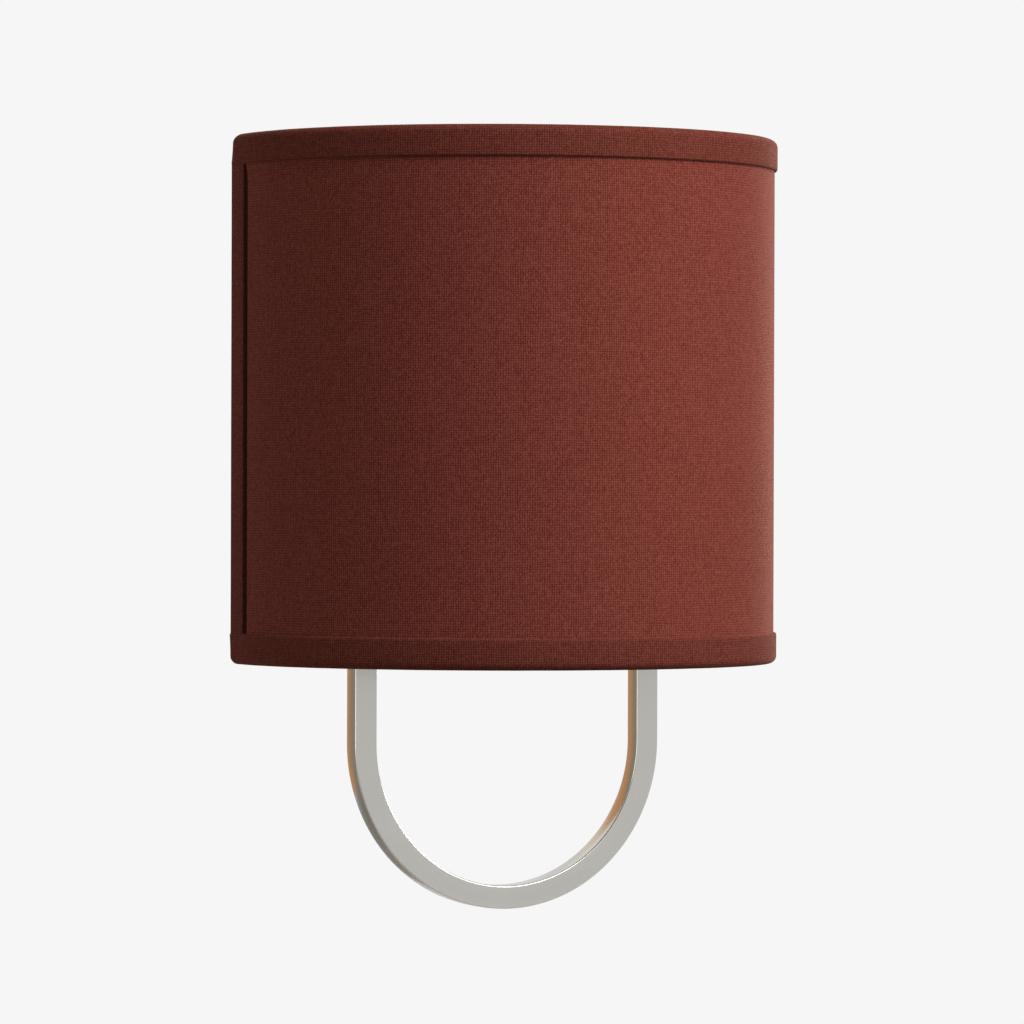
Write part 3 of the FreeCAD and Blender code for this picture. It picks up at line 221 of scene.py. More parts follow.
def swept_half_round():
    """Sweeps the object's own section round a half circle with two straight ends.

    The section's x points outwards and its y down. UVMap holds metres along the path and round the section.
    """
    tree, given, made = new_tree("swept_half_round", "GeometryNodeTree", (
        ("Geometry", "Geometry"), ("Section", "Geometry", None), ("Radius", "Float", 0.1),
        ("Straight", "Float", 0.01), ("Axis", "Float", 0.0), ("Points", "Int", 200), ("Ease", "Float", 0.0),
        ("End Round", "Float", 0.0), ("Roll From", "Float", 1.0), ("Pinch From", "Float", 1.0),
        ("Turn", "Vector", (0, 0, 0)), ("Shift", "Vector", (0, 0, 0)), ("Unevenness", "Float", 0.0),
        ("Seed", "Float", 1.0), ("Material", "Material", None)))
    count = calc(tree, "SUBTRACT", given["Points"], 1.0)
    half_turn = calc(tree, "MULTIPLY", given["Radius"], math.pi)
    whole = calc(tree, "MULTIPLY_ADD", given["Straight"], 2.0, half_turn)
    share = calc(tree, "DIVIDE", add(tree, "GeometryNodeInputIndex").outputs[0], count)
    wave = calc(tree, "SINE", calc(tree, "MULTIPLY", share, math.tau))
    wave = calc(tree, "MULTIPLY", calc(tree, "DIVIDE", given["Ease"], math.tau), wave)
    along = calc(tree, "MULTIPLY", calc(tree, "SUBTRACT", share, wave), whole)
    past = calc(tree, "SUBTRACT", along, given["Straight"])
    angle = calc(tree, "DIVIDE", past, given["Radius"])
    angle = calc(tree, "MINIMUM", calc(tree, "MAXIMUM", angle, 0.0), math.pi)
    x = calc(tree, "MULTIPLY", calc(tree, "COSINE", angle), calc(tree, "MULTIPLY", given["Radius"], -1.0))
    y = calc(tree, "MULTIPLY", calc(tree, "SINE", angle), calc(tree, "MULTIPLY", given["Radius"], -1.0))
    before = calc(tree, "MAXIMUM", calc(tree, "MULTIPLY", past, -1.0), 0.0)
    after = calc(tree, "MAXIMUM", calc(tree, "SUBTRACT", past, half_turn), 0.0)
    y = calc(tree, "ADD", calc(tree, "ADD", y, given["Axis"]), calc(tree, "ADD", before, after))
    spot = add(tree, "ShaderNodeCombineXYZ", {0: x, 1: y}).outputs[0]
    line = add(tree, "GeometryNodeMeshLine", {"Count": given["Points"]}).outputs[0]
    line = add(tree, "GeometryNodeSetPosition", {"Geometry": line, "Position": spot}).outputs[0]
    path = add(tree, "GeometryNodeMeshToCurve", {0: line}).outputs[0]
    path = add(tree, "GeometryNodeSetCurveNormal", {0: path}, mode="Z_UP").outputs[0]
    section = add(tree, "GeometryNodeMeshToCurve", {0: given["Section"]}).outputs[0]
    curves, lengths = [], []
    for curve in (path, section):
        length = add(tree, "GeometryNodeSplineParameter").outputs["Length"]
        kept = add(tree, "GeometryNodeCaptureAttribute")
        kept.capture_items.new("FLOAT", "Length")
        tree.links.new(curve, kept.inputs[0])
        tree.links.new(length, kept.inputs[1])
        curves.append(kept.outputs[0])
        lengths.append(kept.outputs[1])
    swept = add(tree, "GeometryNodeCurveToMesh",
                {"Curve": curves[0], "Profile Curve": curves[1], "Fill Caps": True}).outputs[0]
    uv = add(tree, "ShaderNodeCombineXYZ", {0: lengths[0], 1: lengths[1]}).outputs[0]
    swept = add(tree, "GeometryNodeStoreNamedAttribute", {"Geometry": swept, "Name": "UVMap", "Value": uv},
                data_type="FLOAT2", domain="CORNER").outputs[0]
    # towards both path ends, what is above Roll From and outside Pinch From sinks along a quarter circle, which
    # stops short of its foot; the pinch fades out over the 17 mm below Roll From
    place = add(tree, "GeometryNodeInputPosition").outputs[0]
    parts = add(tree, "ShaderNodeSeparateXYZ", {0: place}).outputs
    end_near = calc(tree, "MINIMUM", lengths[0], calc(tree, "SUBTRACT", whole, lengths[0]))
    radius = calc(tree, "MAXIMUM", given["End Round"], 1e-6)
    inside = calc(tree, "MAXIMUM", calc(tree, "SUBTRACT", 1.0, calc(tree, "DIVIDE", end_near, radius)), 0.0)
    inside = calc(tree, "MINIMUM", calc(tree, "MULTIPLY", inside, inside), 0.97)
    height = calc(tree, "SQRT", calc(tree, "SUBTRACT", 1.0, inside))
    above = calc(tree, "MAXIMUM", calc(tree, "SUBTRACT", parts[2], given["Roll From"]), 0.0)
    sink = calc(tree, "MULTIPLY", above, calc(tree, "SUBTRACT", height, 1.0))
    grain = add(tree, "ShaderNodeTexNoise", {"Vector": place, "W": given["Seed"], "Scale": 55.0, "Detail": 3.0},
                noise_dimensions="4D").outputs[0]
    swell = calc(tree, "MULTIPLY", calc(tree, "SUBTRACT", grain, 0.5), given["Unevenness"])
    normal = add(tree, "GeometryNodeInputNormal").outputs[0]
    swell = add(tree, "ShaderNodeVectorMath", {0: normal, "Scale": swell}, operation="SCALE").outputs[0]
    outside = calc(tree, "SUBTRACT", calc(tree, "ABSOLUTE", parts[0]), given["Pinch From"])
    outside = calc(tree, "MAXIMUM", outside, 0.0)
    share = calc(tree, "MULTIPLY_ADD", calc(tree, "SUBTRACT", parts[2], given["Roll From"]), 60.0, 1.0)
    share = calc(tree, "MINIMUM", calc(tree, "MAXIMUM", share, 0.0), 1.0)
    pinch = calc(tree, "MULTIPLY", outside, calc(tree, "SUBTRACT", height, 1.0))
    pinch = calc(tree, "MULTIPLY", calc(tree, "MULTIPLY", pinch, calc(tree, "SIGN", parts[0])), share)
    sink = add(tree, "ShaderNodeCombineXYZ", {0: pinch, 2: sink}).outputs[0]
    moved = add(tree, "ShaderNodeVectorMath", {0: swell, 1: sink}, operation="ADD").outputs[0]
    swept = add(tree, "GeometryNodeSetPosition", {"Geometry": swept, "Offset": moved}).outputs[0]
    swept = add(tree, "GeometryNodeTransform",
                {"Geometry": swept, "Translation": given["Shift"], "Rotation": given["Turn"]}).outputs[0]
    swept = add(tree, "GeometryNodeRealizeInstances", {0: swept}).outputs[0]
    swept = add(tree, "GeometryNodeSetMaterial", {"Geometry": swept, "Material": given["Material"]}).outputs[0]
    tree.links.new(swept, made[0])
    return tree


def finished_mesh(piece):
    """Gives the piece its evaluated mesh: faces out, smooth up to 35 degrees, and with no modifier left."""
    graph = bpy.context.evaluated_depsgraph_get()
    mesh = bpy.data.meshes.new_from_object(piece.evaluated_get(graph), preserve_all_data_layers=True,
                                           depsgraph=graph)
    piece.modifiers.clear()
    piece.data = mesh
    work = bmesh.new()
    work.from_mesh(mesh)
    bmesh.ops.recalc_face_normals(work, faces=work.faces)
    for face in work.faces:
        face.smooth = True
    work.to_mesh(mesh)
    work.free()
    mesh.set_sharp_from_angle(angle=math.radians(35.0))


def grown(label, line, tree, closed=True, **inputs):
    """A piece that a node tree makes of a line through the points, with its inputs by their names."""
    mesh = bpy.data.meshes.new(label)
    last = len(line) if closed else len(line) - 1
    mesh.from_pydata([(x, y, 0) for x, y in line], [(i, (i + 1) % len(line)) for i in range(last)], [])
    piece = bpy.data.objects.new(label, mesh)
    scene.collection.objects.link(piece)
    modifier = piece.modifiers.new("grown", "NODES")
    modifier.node_group = tree
    for item in tree.interface.items_tree:
        key = item.name.replace(" ", "_").lower()
        if item.in_out == "INPUT" and key in inputs:
            modifier[item.identifier] = inputs[key]
    finished_mesh(piece)
    return piece


def woven_cloth():
    """Plain weave on a UV map in metres: yarn tone with painted gap shade and thread highlights, slubs and
    height.
    """
    tree, given, made = new_tree("woven_cloth", "ShaderNodeTree", (
        ("Tone", "Float"), ("Slub", "Float"), ("Height", "Float"),
        ("Place", "Vector", (0, 0, 0)), ("Pitch", "Float", 0.001)))
    parts = add(tree, "ShaderNodeSeparateXYZ", {0: given["Place"]}).outputs
    wander = 0.0  # how far the yarns stray, in pitches
    for scale, detail in ((70.0, 2.0), (900.0, 1.0)):
        stray = add(tree, "ShaderNodeTexNoise", {"Vector": given["Place"], "Scale": scale, "Detail": detail},
                    noise_dimensions="2D").outputs[0]
        wander = calc(tree, "MULTIPLY_ADD", calc(tree, "SUBTRACT", stray, 0.5), 0.8, wander)
    ways = []
    for own, other in ((0, 1), (1, 0)):
        across = calc(tree, "ADD", calc(tree, "DIVIDE", parts[own], given["Pitch"]), wander)
        along = calc(tree, "DIVIDE", parts[other], given["Pitch"])
        ridge = calc(tree, "ABSOLUTE", calc(tree, "SINE", calc(tree, "MULTIPLY", across, math.pi)))
        slow = calc(tree, "MULTIPLY", along, 0.06)
        yarn = add(tree, "ShaderNodeCombineXYZ",
                   {0: calc(tree, "FLOOR", across), 1: slow, 2: own * 7.3}).outputs[0]
        tone = add(tree, "ShaderNodeTexNoise",
                   {"Vector": yarn, "Scale": 1.0, "Detail": 3.0, "Roughness": 0.6}).outputs[0]
        ways.append((across, ridge, tone))
    (u, warp, warp_tone), (v, weft, weft_tone) = ways
    over = calc(tree, "MULTIPLY", calc(tree, "SINE", calc(tree, "MULTIPLY", u, math.pi)),
                calc(tree, "SINE", calc(tree, "MULTIPLY", v, math.pi)))
    # painted shade and highlight: lighter where the threads lie high and cross, darker in the gaps between them
    thread_light_and_gap_shade = calc(tree, "MULTIPLY", calc(tree, "MULTIPLY_ADD", warp, 0.75, 0.25),
                calc(tree, "MULTIPLY_ADD", weft, 0.55, 0.45))
    over = add(tree, "ShaderNodeMapRange", {0: over, 1: -0.25, 2: 0.25}).outputs[0]
    height = add(tree, "ShaderNodeMix", {0: over, 2: weft, 3: warp}).outputs[0]
    yarn_tone = add(tree, "ShaderNodeMix", {0: over, 2: weft_tone, 3: warp_tone}).outputs[0]
    cell = add(tree, "ShaderNodeCombineXYZ", {0: calc(tree, "FLOOR", u), 1: calc(tree, "FLOOR", v)}).outputs[0]
    fleck = add(tree, "ShaderNodeTexWhiteNoise", {"Vector": cell}, noise_dimensions="2D").outputs["Value"]
    # the tone: the yarns' own tone and random flecks, with the painted thread shading added on top
    tone = 0.5
    for value, middle, weight in ((yarn_tone, 0.5, 0.25), (fleck, 0.5, 0.32), (thread_light_and_gap_shade, 0.575, 1.15)):
        tone = calc(tree, "MULTIPLY_ADD", calc(tree, "SUBTRACT", value, middle), weight, tone)
    tree.links.new(tone, made["Tone"])
    slub = calc(tree, "MAXIMUM", warp_tone, weft_tone)
    slub = add(tree, "ShaderNodeMapRange", {0: slub, 1: 0.62, 2: 0.8}).outputs[0]
    tree.links.new(slub, made["Slub"])
    tree.links.new(calc(tree, "MULTIPLY_ADD", slub, 0.25, height), made["Height"])
    return tree


def group(tree, shared, feeds):
    """The outputs of a shared node group that these values or sockets feed."""
    return add(tree, "ShaderNodeGroup", feeds, node_tree=shared).outputs


def new_material(label, **sockets):
    """A material whose uniform values sit on the Principled shader's own sockets."""
    material = bpy.data.materials.new(label)
    material.use_nodes = True
    shader = material.node_tree.nodes["Principled BSDF"]
    for key, value in sockets.items():
        shader.inputs[key.replace("_", " ")].default_value = value
    return material, material.node_tree, shader.inputs


def bump(tree, height, depth, strength=1.0):
    """The normal of a surface whose height swings by this depth."""
    return add(tree, "ShaderNodeBump", {"Height": height, "Distance": depth, "Strength": strength}).outputs[0]


def ramp(tree, value, dark, light):
    """A colour between the dark and the light one."""
    return add(tree, "ShaderNodeMix", {0: value, 6: (*dark, 1), 7: (*light, 1)}, data_type="RGBA").outputs[2]


weave = woven_cloth()
YARN_PITCH = 0.00098


def linen(label, dark, light, fuzz):
    """Rust-red linen, duller or lighter by its yarns, slubs and painted weave shading, with the fuzz at its
    edges.
    """
    material, tree, shader = new_material(label, Roughness=0.95, Sheen_Weight=fuzz, Sheen_Roughness=0.35,
                                          Sheen_Tint=(1.0, 0.5, 0.38, 1), Specular_IOR_Level=0.05)
    place = add(tree, "ShaderNodeTexCoord").outputs["UV"]
    cloth = group(tree, weave, {"Place": place, "Pitch": YARN_PITCH})
    cloud = add(tree, "ShaderNodeTexNoise", {"Vector": place, "Scale": 24.0, "Detail": 3.0}).outputs[0]
    tone = calc(tree, "MULTIPLY_ADD", cloth["Slub"], 0.12, cloth["Tone"])
    tone = calc(tree, "MULTIPLY_ADD", calc(tree, "SUBTRACT", cloud, 0.5), 0.04, tone)
    tone = add(tree, "ShaderNodeMapRange", {0: tone, 1: 0.0, 2: 1.0}).outputs[0]
    tree.links.new(ramp(tree, tone, dark, light), shader["Base Color"])
    tree.links.new(bump(tree, cloth["Height"], 0.00008, 0.7), shader["Normal"])
    return material


red_linen = linen("red_linen", (0.092, 0.0125, 0.0078), (0.256, 0.067, 0.050), 0.3)
sweep = swept_half_round()
rows = 42
section = [(-LINEN_THICK, -WIRE_Z + 2 * WIRE_Z * i / rows) for i in range(rows + 1)]
section += [(0.0, WIRE_Z - 2 * WIRE_Z * i / rows) for i in range(rows + 1)]
linen_cloth = grown("linen_cloth", section, sweep, radius=SHADE_R, straight=LINEN_END - AXIS_Y, axis=AXIS_Y,
                    points=241, material=red_linen)
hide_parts("linen_skin")
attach(linen_cloth, "shade")

# ---------------------------------------------------------------------------------- rolled top and bottom trims
# Bands of the same linen, 27 x 388 mm, glued over the upper and lower ring wire: 12.7 mm shows outside, the
# rest rolls over the wire and is tucked 8 mm inside. Their ends are folded round at the wall, tighter below.
TRIM_FACE = 0.1155  # the radius of their outer face
TRIM_LOW = 0.09525  # the top band's lower edge on the outside
TUCK_IN, TUCK_OUT = 0.1092, 0.1098  # the radii of the two faces of the cloth that is tucked in
TUCK_END = 0.0968  # the top band's lower edge on the inside
WALL_EDGE = -0.001  # where they end, just in front of the wall
FOOT_ROUND = 0.0009  # the rounding of their outer edge


def arc(x, y, radius, start, end, steps):
    """Points round (x, y) from one angle to another, in degrees."""
    turns = [math.radians(start + (end - start) * i / steps) for i in range(steps + 1)]
    return [(x + radius * math.cos(t), y + radius * math.sin(t)) for t in turns]


trim_linen = linen("trim_linen", (0.069, 0.0102, 0.0066), (0.193, 0.053, 0.038), 0.12)
outer, inner = (TRIM_FACE - TUCK_IN) / 2, (SHADE_R - TUCK_OUT) / 2
section = ([(SHADE_R - 0.00004, -TRIM_LOW - 0.0006), (SHADE_R + 0.00022, -TRIM_LOW - 0.00035)]
           + arc(TRIM_FACE - FOOT_ROUND, -TRIM_LOW - FOOT_ROUND, FOOT_ROUND, 105, 0, 6)
           + [(TRIM_FACE, -TRIM_LOW - 0.003), (TRIM_FACE, -TRIM_LOW - 0.006)]
           + arc(TRIM_FACE - outer, -WIRE_Z, outer, 0, -180, 18)
           + [(TUCK_IN, -TUCK_END), (TUCK_OUT, -TUCK_END)]
           + arc(TUCK_OUT + inner, -WIRE_Z, inner, -180, 0, 12))
section = [(x - SHADE_R, y) for x, y in section]
for label, turn, seed, end_round in (("top_band", 0.0, 3.0, 0.009), ("bottom_band", math.pi, 8.0, 0.005)):
    band = grown(label, section, sweep, radius=SHADE_R, straight=WALL_EDGE - AXIS_Y, axis=AXIS_Y, points=301,
                 ease=0.6, end_round=end_round, roll_from=0.1036, pinch_from=0.11205, turn=(0, turn, 0),
                 unevenness=0.00016, seed=seed, material=trim_linen)
    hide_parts(label.replace("band", "trim"))
    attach(band, "shade")

# -------------------------------------------------------------------------------------------- rolled side trims
# Shorter bands of the linen, 28.5 x 210 mm, rolled over the upright wires at the wall edges and drawn tight
# under the top and bottom bands. A near-black strip of cloth, narrow at its top, paints the shadow in the
# crease between each band and the linen.
SIDE_FACE = 0.1149
SIDE_ROLL = 0.00285  # the radius at which they go round the wire
SIDE_FRONT = AXIS_Y - 0.0016
SIDE_EDGE = 0.0004  # the rounding of their front edge
SIDE_TUCK = 0.008
UNDER_TRIM = 0.62  # how tight the side bands are drawn under the top and bottom bands
# the width, rise and underlap of the near-black strip that paints the crease's shadow
SHADOW_STRIP_WIDE, SHADOW_STRIP_PROUD, SHADOW_STRIP_LAP = 0.0032, 0.00022, 0.0002


def lofted(label, rings, material):
    """A skin through equal rings of points, with its ends capped and UVMap in metres."""
    mesh = bpy.data.meshes.new(label)
    size = len(rings[0])
    faces = [[a * size + i, a * size + (i + 1) % size, (a + 1) * size + (i + 1) % size, (a + 1) * size + i]
             for a in range(len(rings) - 1) for i in range(size)]
    faces += [list(range(size)), [(len(rings) - 1) * size + i for i in range(size)]]
    mesh.from_pydata([p for ring in rings for p in ring], [], faces)
    around = [0.0]
    for i in range(size):
        around.append(around[-1] + (Vector(rings[0][(i + 1) % size]) - Vector(rings[0][i])).length)
    along = [0.0]
    for a in range(len(rings) - 1):
        along.append(along[-1] + (Vector(rings[a + 1][0]) - Vector(rings[a][0])).length)
    layer = mesh.uv_layers.new(name="UVMap")
    for face in mesh.polygons:
        for corner, vertex in zip(face.loop_indices, face.vertices):
            i = vertex % size
            wraps = i == 0 and any(v % size == size - 1 for v in face.vertices) and len(face.vertices) == 4
            layer.data[corner].uv = (around[size] if wraps else around[i], along[vertex // size])
    mesh.materials.append(material)
    piece = bpy.data.objects.new(label, mesh)
    scene.collection.objects.link(piece)
    finished_mesh(piece)
    return piece


steps = 36
side_end = TUCK_END - 0.0001
heights = [-side_end + 2 * side_end * i / steps for i in range(steps + 1)]
wire_x, edge_level = SIDE_FACE - SIDE_ROLL, WALL_EDGE - SIDE_ROLL
profile = ([(SHADE_R - 0.00004, SIDE_FRONT + 0.0006), (SHADE_R + 0.0001, SIDE_FRONT + 0.0002)]
           + arc(SIDE_FACE - SIDE_EDGE, SIDE_FRONT + SIDE_EDGE, SIDE_EDGE, 250, 360, 5)
           + [(SIDE_FACE, AXIS_Y + 0.004)]
           + arc(wire_x, edge_level, SIDE_ROLL, 0, 180, 18)
           + [(TUCK_IN, edge_level - SIDE_TUCK), (TUCK_OUT, edge_level - SIDE_TUCK)]
           + arc((SHADE_R + TUCK_OUT) / 2, edge_level, (SHADE_R - TUCK_OUT) / 2, 180, 0, 12))
# painted shadow: a near-black cloth that stands for the shade in the crease between each side band and the
# linen
seam_cloth, tree, shader = new_material("seam_cloth", Roughness=1.0, Specular_IOR_Level=0.05)
place = add(tree, "ShaderNodeTexCoord").outputs["UV"]
cloth = group(tree, weave, {"Place": place, "Pitch": 0.0007})
tree.links.new(ramp(tree, cloth["Tone"], (0.014, 0.0032, 0.0010), (0.032, 0.0072, 0.0022)),
               shader["Base Color"])
tree.links.new(bump(tree, cloth["Height"], 0.0001), shader["Normal"])
tight = [(wire_x + (x - wire_x) * UNDER_TRIM, edge_level + (y - edge_level) * UNDER_TRIM) for x, y in profile]
for hand, label in ((-1, "left"), (1, "right")):
    rings = [[(hand * x, y, z) for x, y in tight] for z in (-WIRE_Z, heights[0] - 0.0001)]
    rings += [[(hand * x, y, z) for x, y in profile] for z in heights]
    rings += [[(hand * x, y, z) for x, y in tight] for z in (heights[-1] + 0.0001, WIRE_Z)]
    band = lofted(label + "_band", rings, trim_linen)
    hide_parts(label + "_side_trim")
    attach(band, "shade")
    # the near-black strip along each side band's front edge, narrow at its top: the painted shadow of the
    # crease
    rings = []
    for z in heights:
        wide = SHADOW_STRIP_WIDE * min(1.0, 0.3 + max(0.0, TRIM_LOW - z) / 0.007)
        across = [(i / 8 * wide - SHADOW_STRIP_LAP, SHADE_R + SHADOW_STRIP_PROUD * math.sin(math.pi * i / 8) ** 0.5)
                  for i in range(9)]
        across += [(wide - SHADOW_STRIP_LAP, SHADE_R - SHADOW_STRIP_LAP), (-SHADOW_STRIP_LAP, SHADE_R - SHADOW_STRIP_LAP)]
        spots = []
        for along, radius in across:
            turn = (along + AXIS_Y - SIDE_FRONT) / SHADE_R
            spots.append((hand * radius * math.cos(turn), AXIS_Y - radius * math.sin(turn), z))
        rings.append(spots)
    shadow_strip = lofted(label + "_seam", rings, seam_cloth)
    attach(shadow_strip, "shade")

# ------------------------------------------------------------------------------------------------------ stirrup
# One length of 3/8 in square bar, bent to a U and screwed to the pan from behind. Drawn steel with a brushed
# satin nickel plate, whose grain runs along the bar.
BAR_SIDE = 0.009525
BAR_EDGE = 0.00065  # the rounding of its edges
BAR_MIDDLE = 0.0640375  # from the middle of the shade to the middle of each leg, and the bend's radius
BAR_DEPTH = -0.0207625
BEND_Z, LEG_TOP = -0.14075, 0.0381
NICKEL_DARK, NICKEL_LIGHT = (0.45, 0.44, 0.41), (0.52, 0.508, 0.475)


def brushed():
    """Fine scratches along the axis whose stretch is small, with the plate's slow cloudiness."""
    tree, given, made = new_tree("brushed", "ShaderNodeTree", (
        ("Grain", "Float"), ("Cloud", "Float"), ("Place", "Vector", (0, 0, 0)), ("Scratches", "Float", 5000.0),
        ("Stretch", "Vector", (1.0, 1.0, 1.0))))
    fine = add(tree, "ShaderNodeVectorMath", {0: given["Place"], 1: given["Stretch"]},
               operation="MULTIPLY").outputs[0]
    grain = add(tree, "ShaderNodeTexNoise",
                {"Vector": fine, "Scale": given["Scratches"], "Detail": 3.0, "Roughness": 0.65}).outputs[0]
    cloud = add(tree, "ShaderNodeTexNoise", {"Vector": given["Place"], "Scale": 38.0, "Detail": 4.0}).outputs[0]
    tree.links.new(grain, made["Grain"])
    tree.links.new(cloud, made["Cloud"])
    return tree


grain = brushed()


def plated(label, rough, source, stretch, scratches, depth):
    """Brushed satin nickel: rough gives the smoothest and the dullest that it gets."""
    material, tree, shader = new_material(label, Metallic=1.0)
    place = add(tree, "ShaderNodeTexCoord").outputs[source]
    lines = group(tree, grain, {"Place": place, "Stretch": stretch, "Scratches": scratches})
    mixed = calc(tree, "MULTIPLY_ADD", lines["Grain"], 0.6, calc(tree, "MULTIPLY", lines["Cloud"], 0.4))
    tree.links.new(ramp(tree, mixed, NICKEL_DARK, NICKEL_LIGHT), shader["Base Color"])
    dull = add(tree, "ShaderNodeMapRange", {0: mixed, 1: 0.3, 2: 0.7, 3: rough[0], 4: rough[1]}).outputs[0]
    tree.links.new(dull, shader["Roughness"])
    tree.links.new(bump(tree, lines["Grain"], depth), shader["Normal"])
    return material


bar_nickel = plated("bar_nickel", (0.14, 0.24), "UV", (0.012, 1.0, 1.0), 5000.0, 0.000004)
half = BAR_SIDE / 2 - BAR_EDGE
section = []
for turn, x, y in ((0, half, half), (90, -half, half), (180, -half, -half), (270, half, -half)):
    section += arc(x, y, BAR_EDGE, turn, turn + 90, 5)
stirrup_bar = grown("stirrup_bar", section, sweep, radius=BAR_MIDDLE, straight=LEG_TOP - BEND_Z, axis=BEND_Z,
                    points=361, turn=(math.pi / 2, 0, 0), shift=(0, BAR_DEPTH, 0), material=bar_nickel)
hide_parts("u_bar")
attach(stirrup_bar, "fixture")

# ------------------------------------------------------------------------------------------ inside of the shade
# The liner is a stiff translucent white sheet that the linen is bonded to. The frame is 3 mm wire, welded and
# dipped in white enamel: two rings open at the wall, two uprights and the wire that hangs in the hooks.


def dress(material, *names):
    """Gives these CAD nodes a material in place of the plain one."""
    for name in names:
        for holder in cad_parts[name].material_slots:
            holder.material = material


def mottled():
    """Soft patches and fine specks for moulded, cast, dipped and plated surfaces."""
    tree, given, made = new_tree("mottled", "ShaderNodeTree", (
        ("Patch", "Float"), ("Speck", "Float"), ("Place", "Vector", (0, 0, 0)), ("Scale", "Float", 60.0)))
    patch = add(tree, "ShaderNodeTexNoise",
                {"Vector": given["Place"], "Scale": given["Scale"], "Detail": 4.0}).outputs[0]
    finer = calc(tree, "MULTIPLY", given["Scale"], 24.0)
    speck = add(tree, "ShaderNodeTexNoise",
                {"Vector": given["Place"], "Scale": finer, "Detail": 2.0}).outputs[0]
    tree.links.new(patch, made["Patch"])
    tree.links.new(speck, made["Speck"])
    return tree


patches = mottled()


def coated(label, dark, light, rough, scale, **sockets):
    """A surface with soft patches of tone, uneven gloss and a fine bump."""
    material, tree, shader = new_material(label, **sockets)
    place = add(tree, "ShaderNodeTexCoord").outputs["Object"]
    spots = group(tree, patches, {"Place": place, "Scale": scale})
    tone = calc(tree, "MULTIPLY_ADD", spots["Speck"], 0.35, calc(tree, "MULTIPLY", spots["Patch"], 0.65))
    tone = add(tree, "ShaderNodeMapRange", {0: tone, 1: 0.3, 2: 0.7}).outputs[0]
    tree.links.new(ramp(tree, tone, dark, light), shader["Base Color"])
    dull = add(tree, "ShaderNodeMapRange", {0: tone, 3: rough[0], 4: rough[1]}).outputs[0]
    tree.links.new(dull, shader["Roughness"])
    tree.links.new(bump(tree, spots["Speck"], 0.00002), shader["Normal"])
    return material


liner_sheet = coated("liner_sheet", (0.74, 0.71, 0.64), (0.84, 0.81, 0.75), (0.45, 0.6), 30.0)
white_enamel = coated("white_enamel", (0.72, 0.72, 0.70), (0.82, 0.82, 0.80), (0.25, 0.4), 90.0)
dress(liner_sheet, "shade_liner")
dress(white_enamel, "top_ring", "bottom_ring", "back_wire", "upright_wires")

# ----------------------------------------------------------------------------------------- wall pan and fixings
# Drawn steel pan with the stirrup's satin nickel plate, held to a zinc-plated strap by two threaded studs with
# ribbed cap nuts. Four cross-recess screws go through it into the stirrup's legs.
pan_nickel = plated("pan_nickel", (0.2, 0.32), "Object", (1.0, 1.0, 0.012), 4000.0, 0.000012)
dress(pan_nickel, "wall_pan", "shade_hooks", "lamp_arm", "arm_collar", "holder_cap", "holder_shell")
zinc = coated("zinc", (0.40, 0.42, 0.44), (0.62, 0.63, 0.64), (0.25, 0.45), 160.0, Metallic=1.0)
dress(zinc, "crossbar", "stud_lock_nuts", "arm_lock_nut", "hook_rivets")


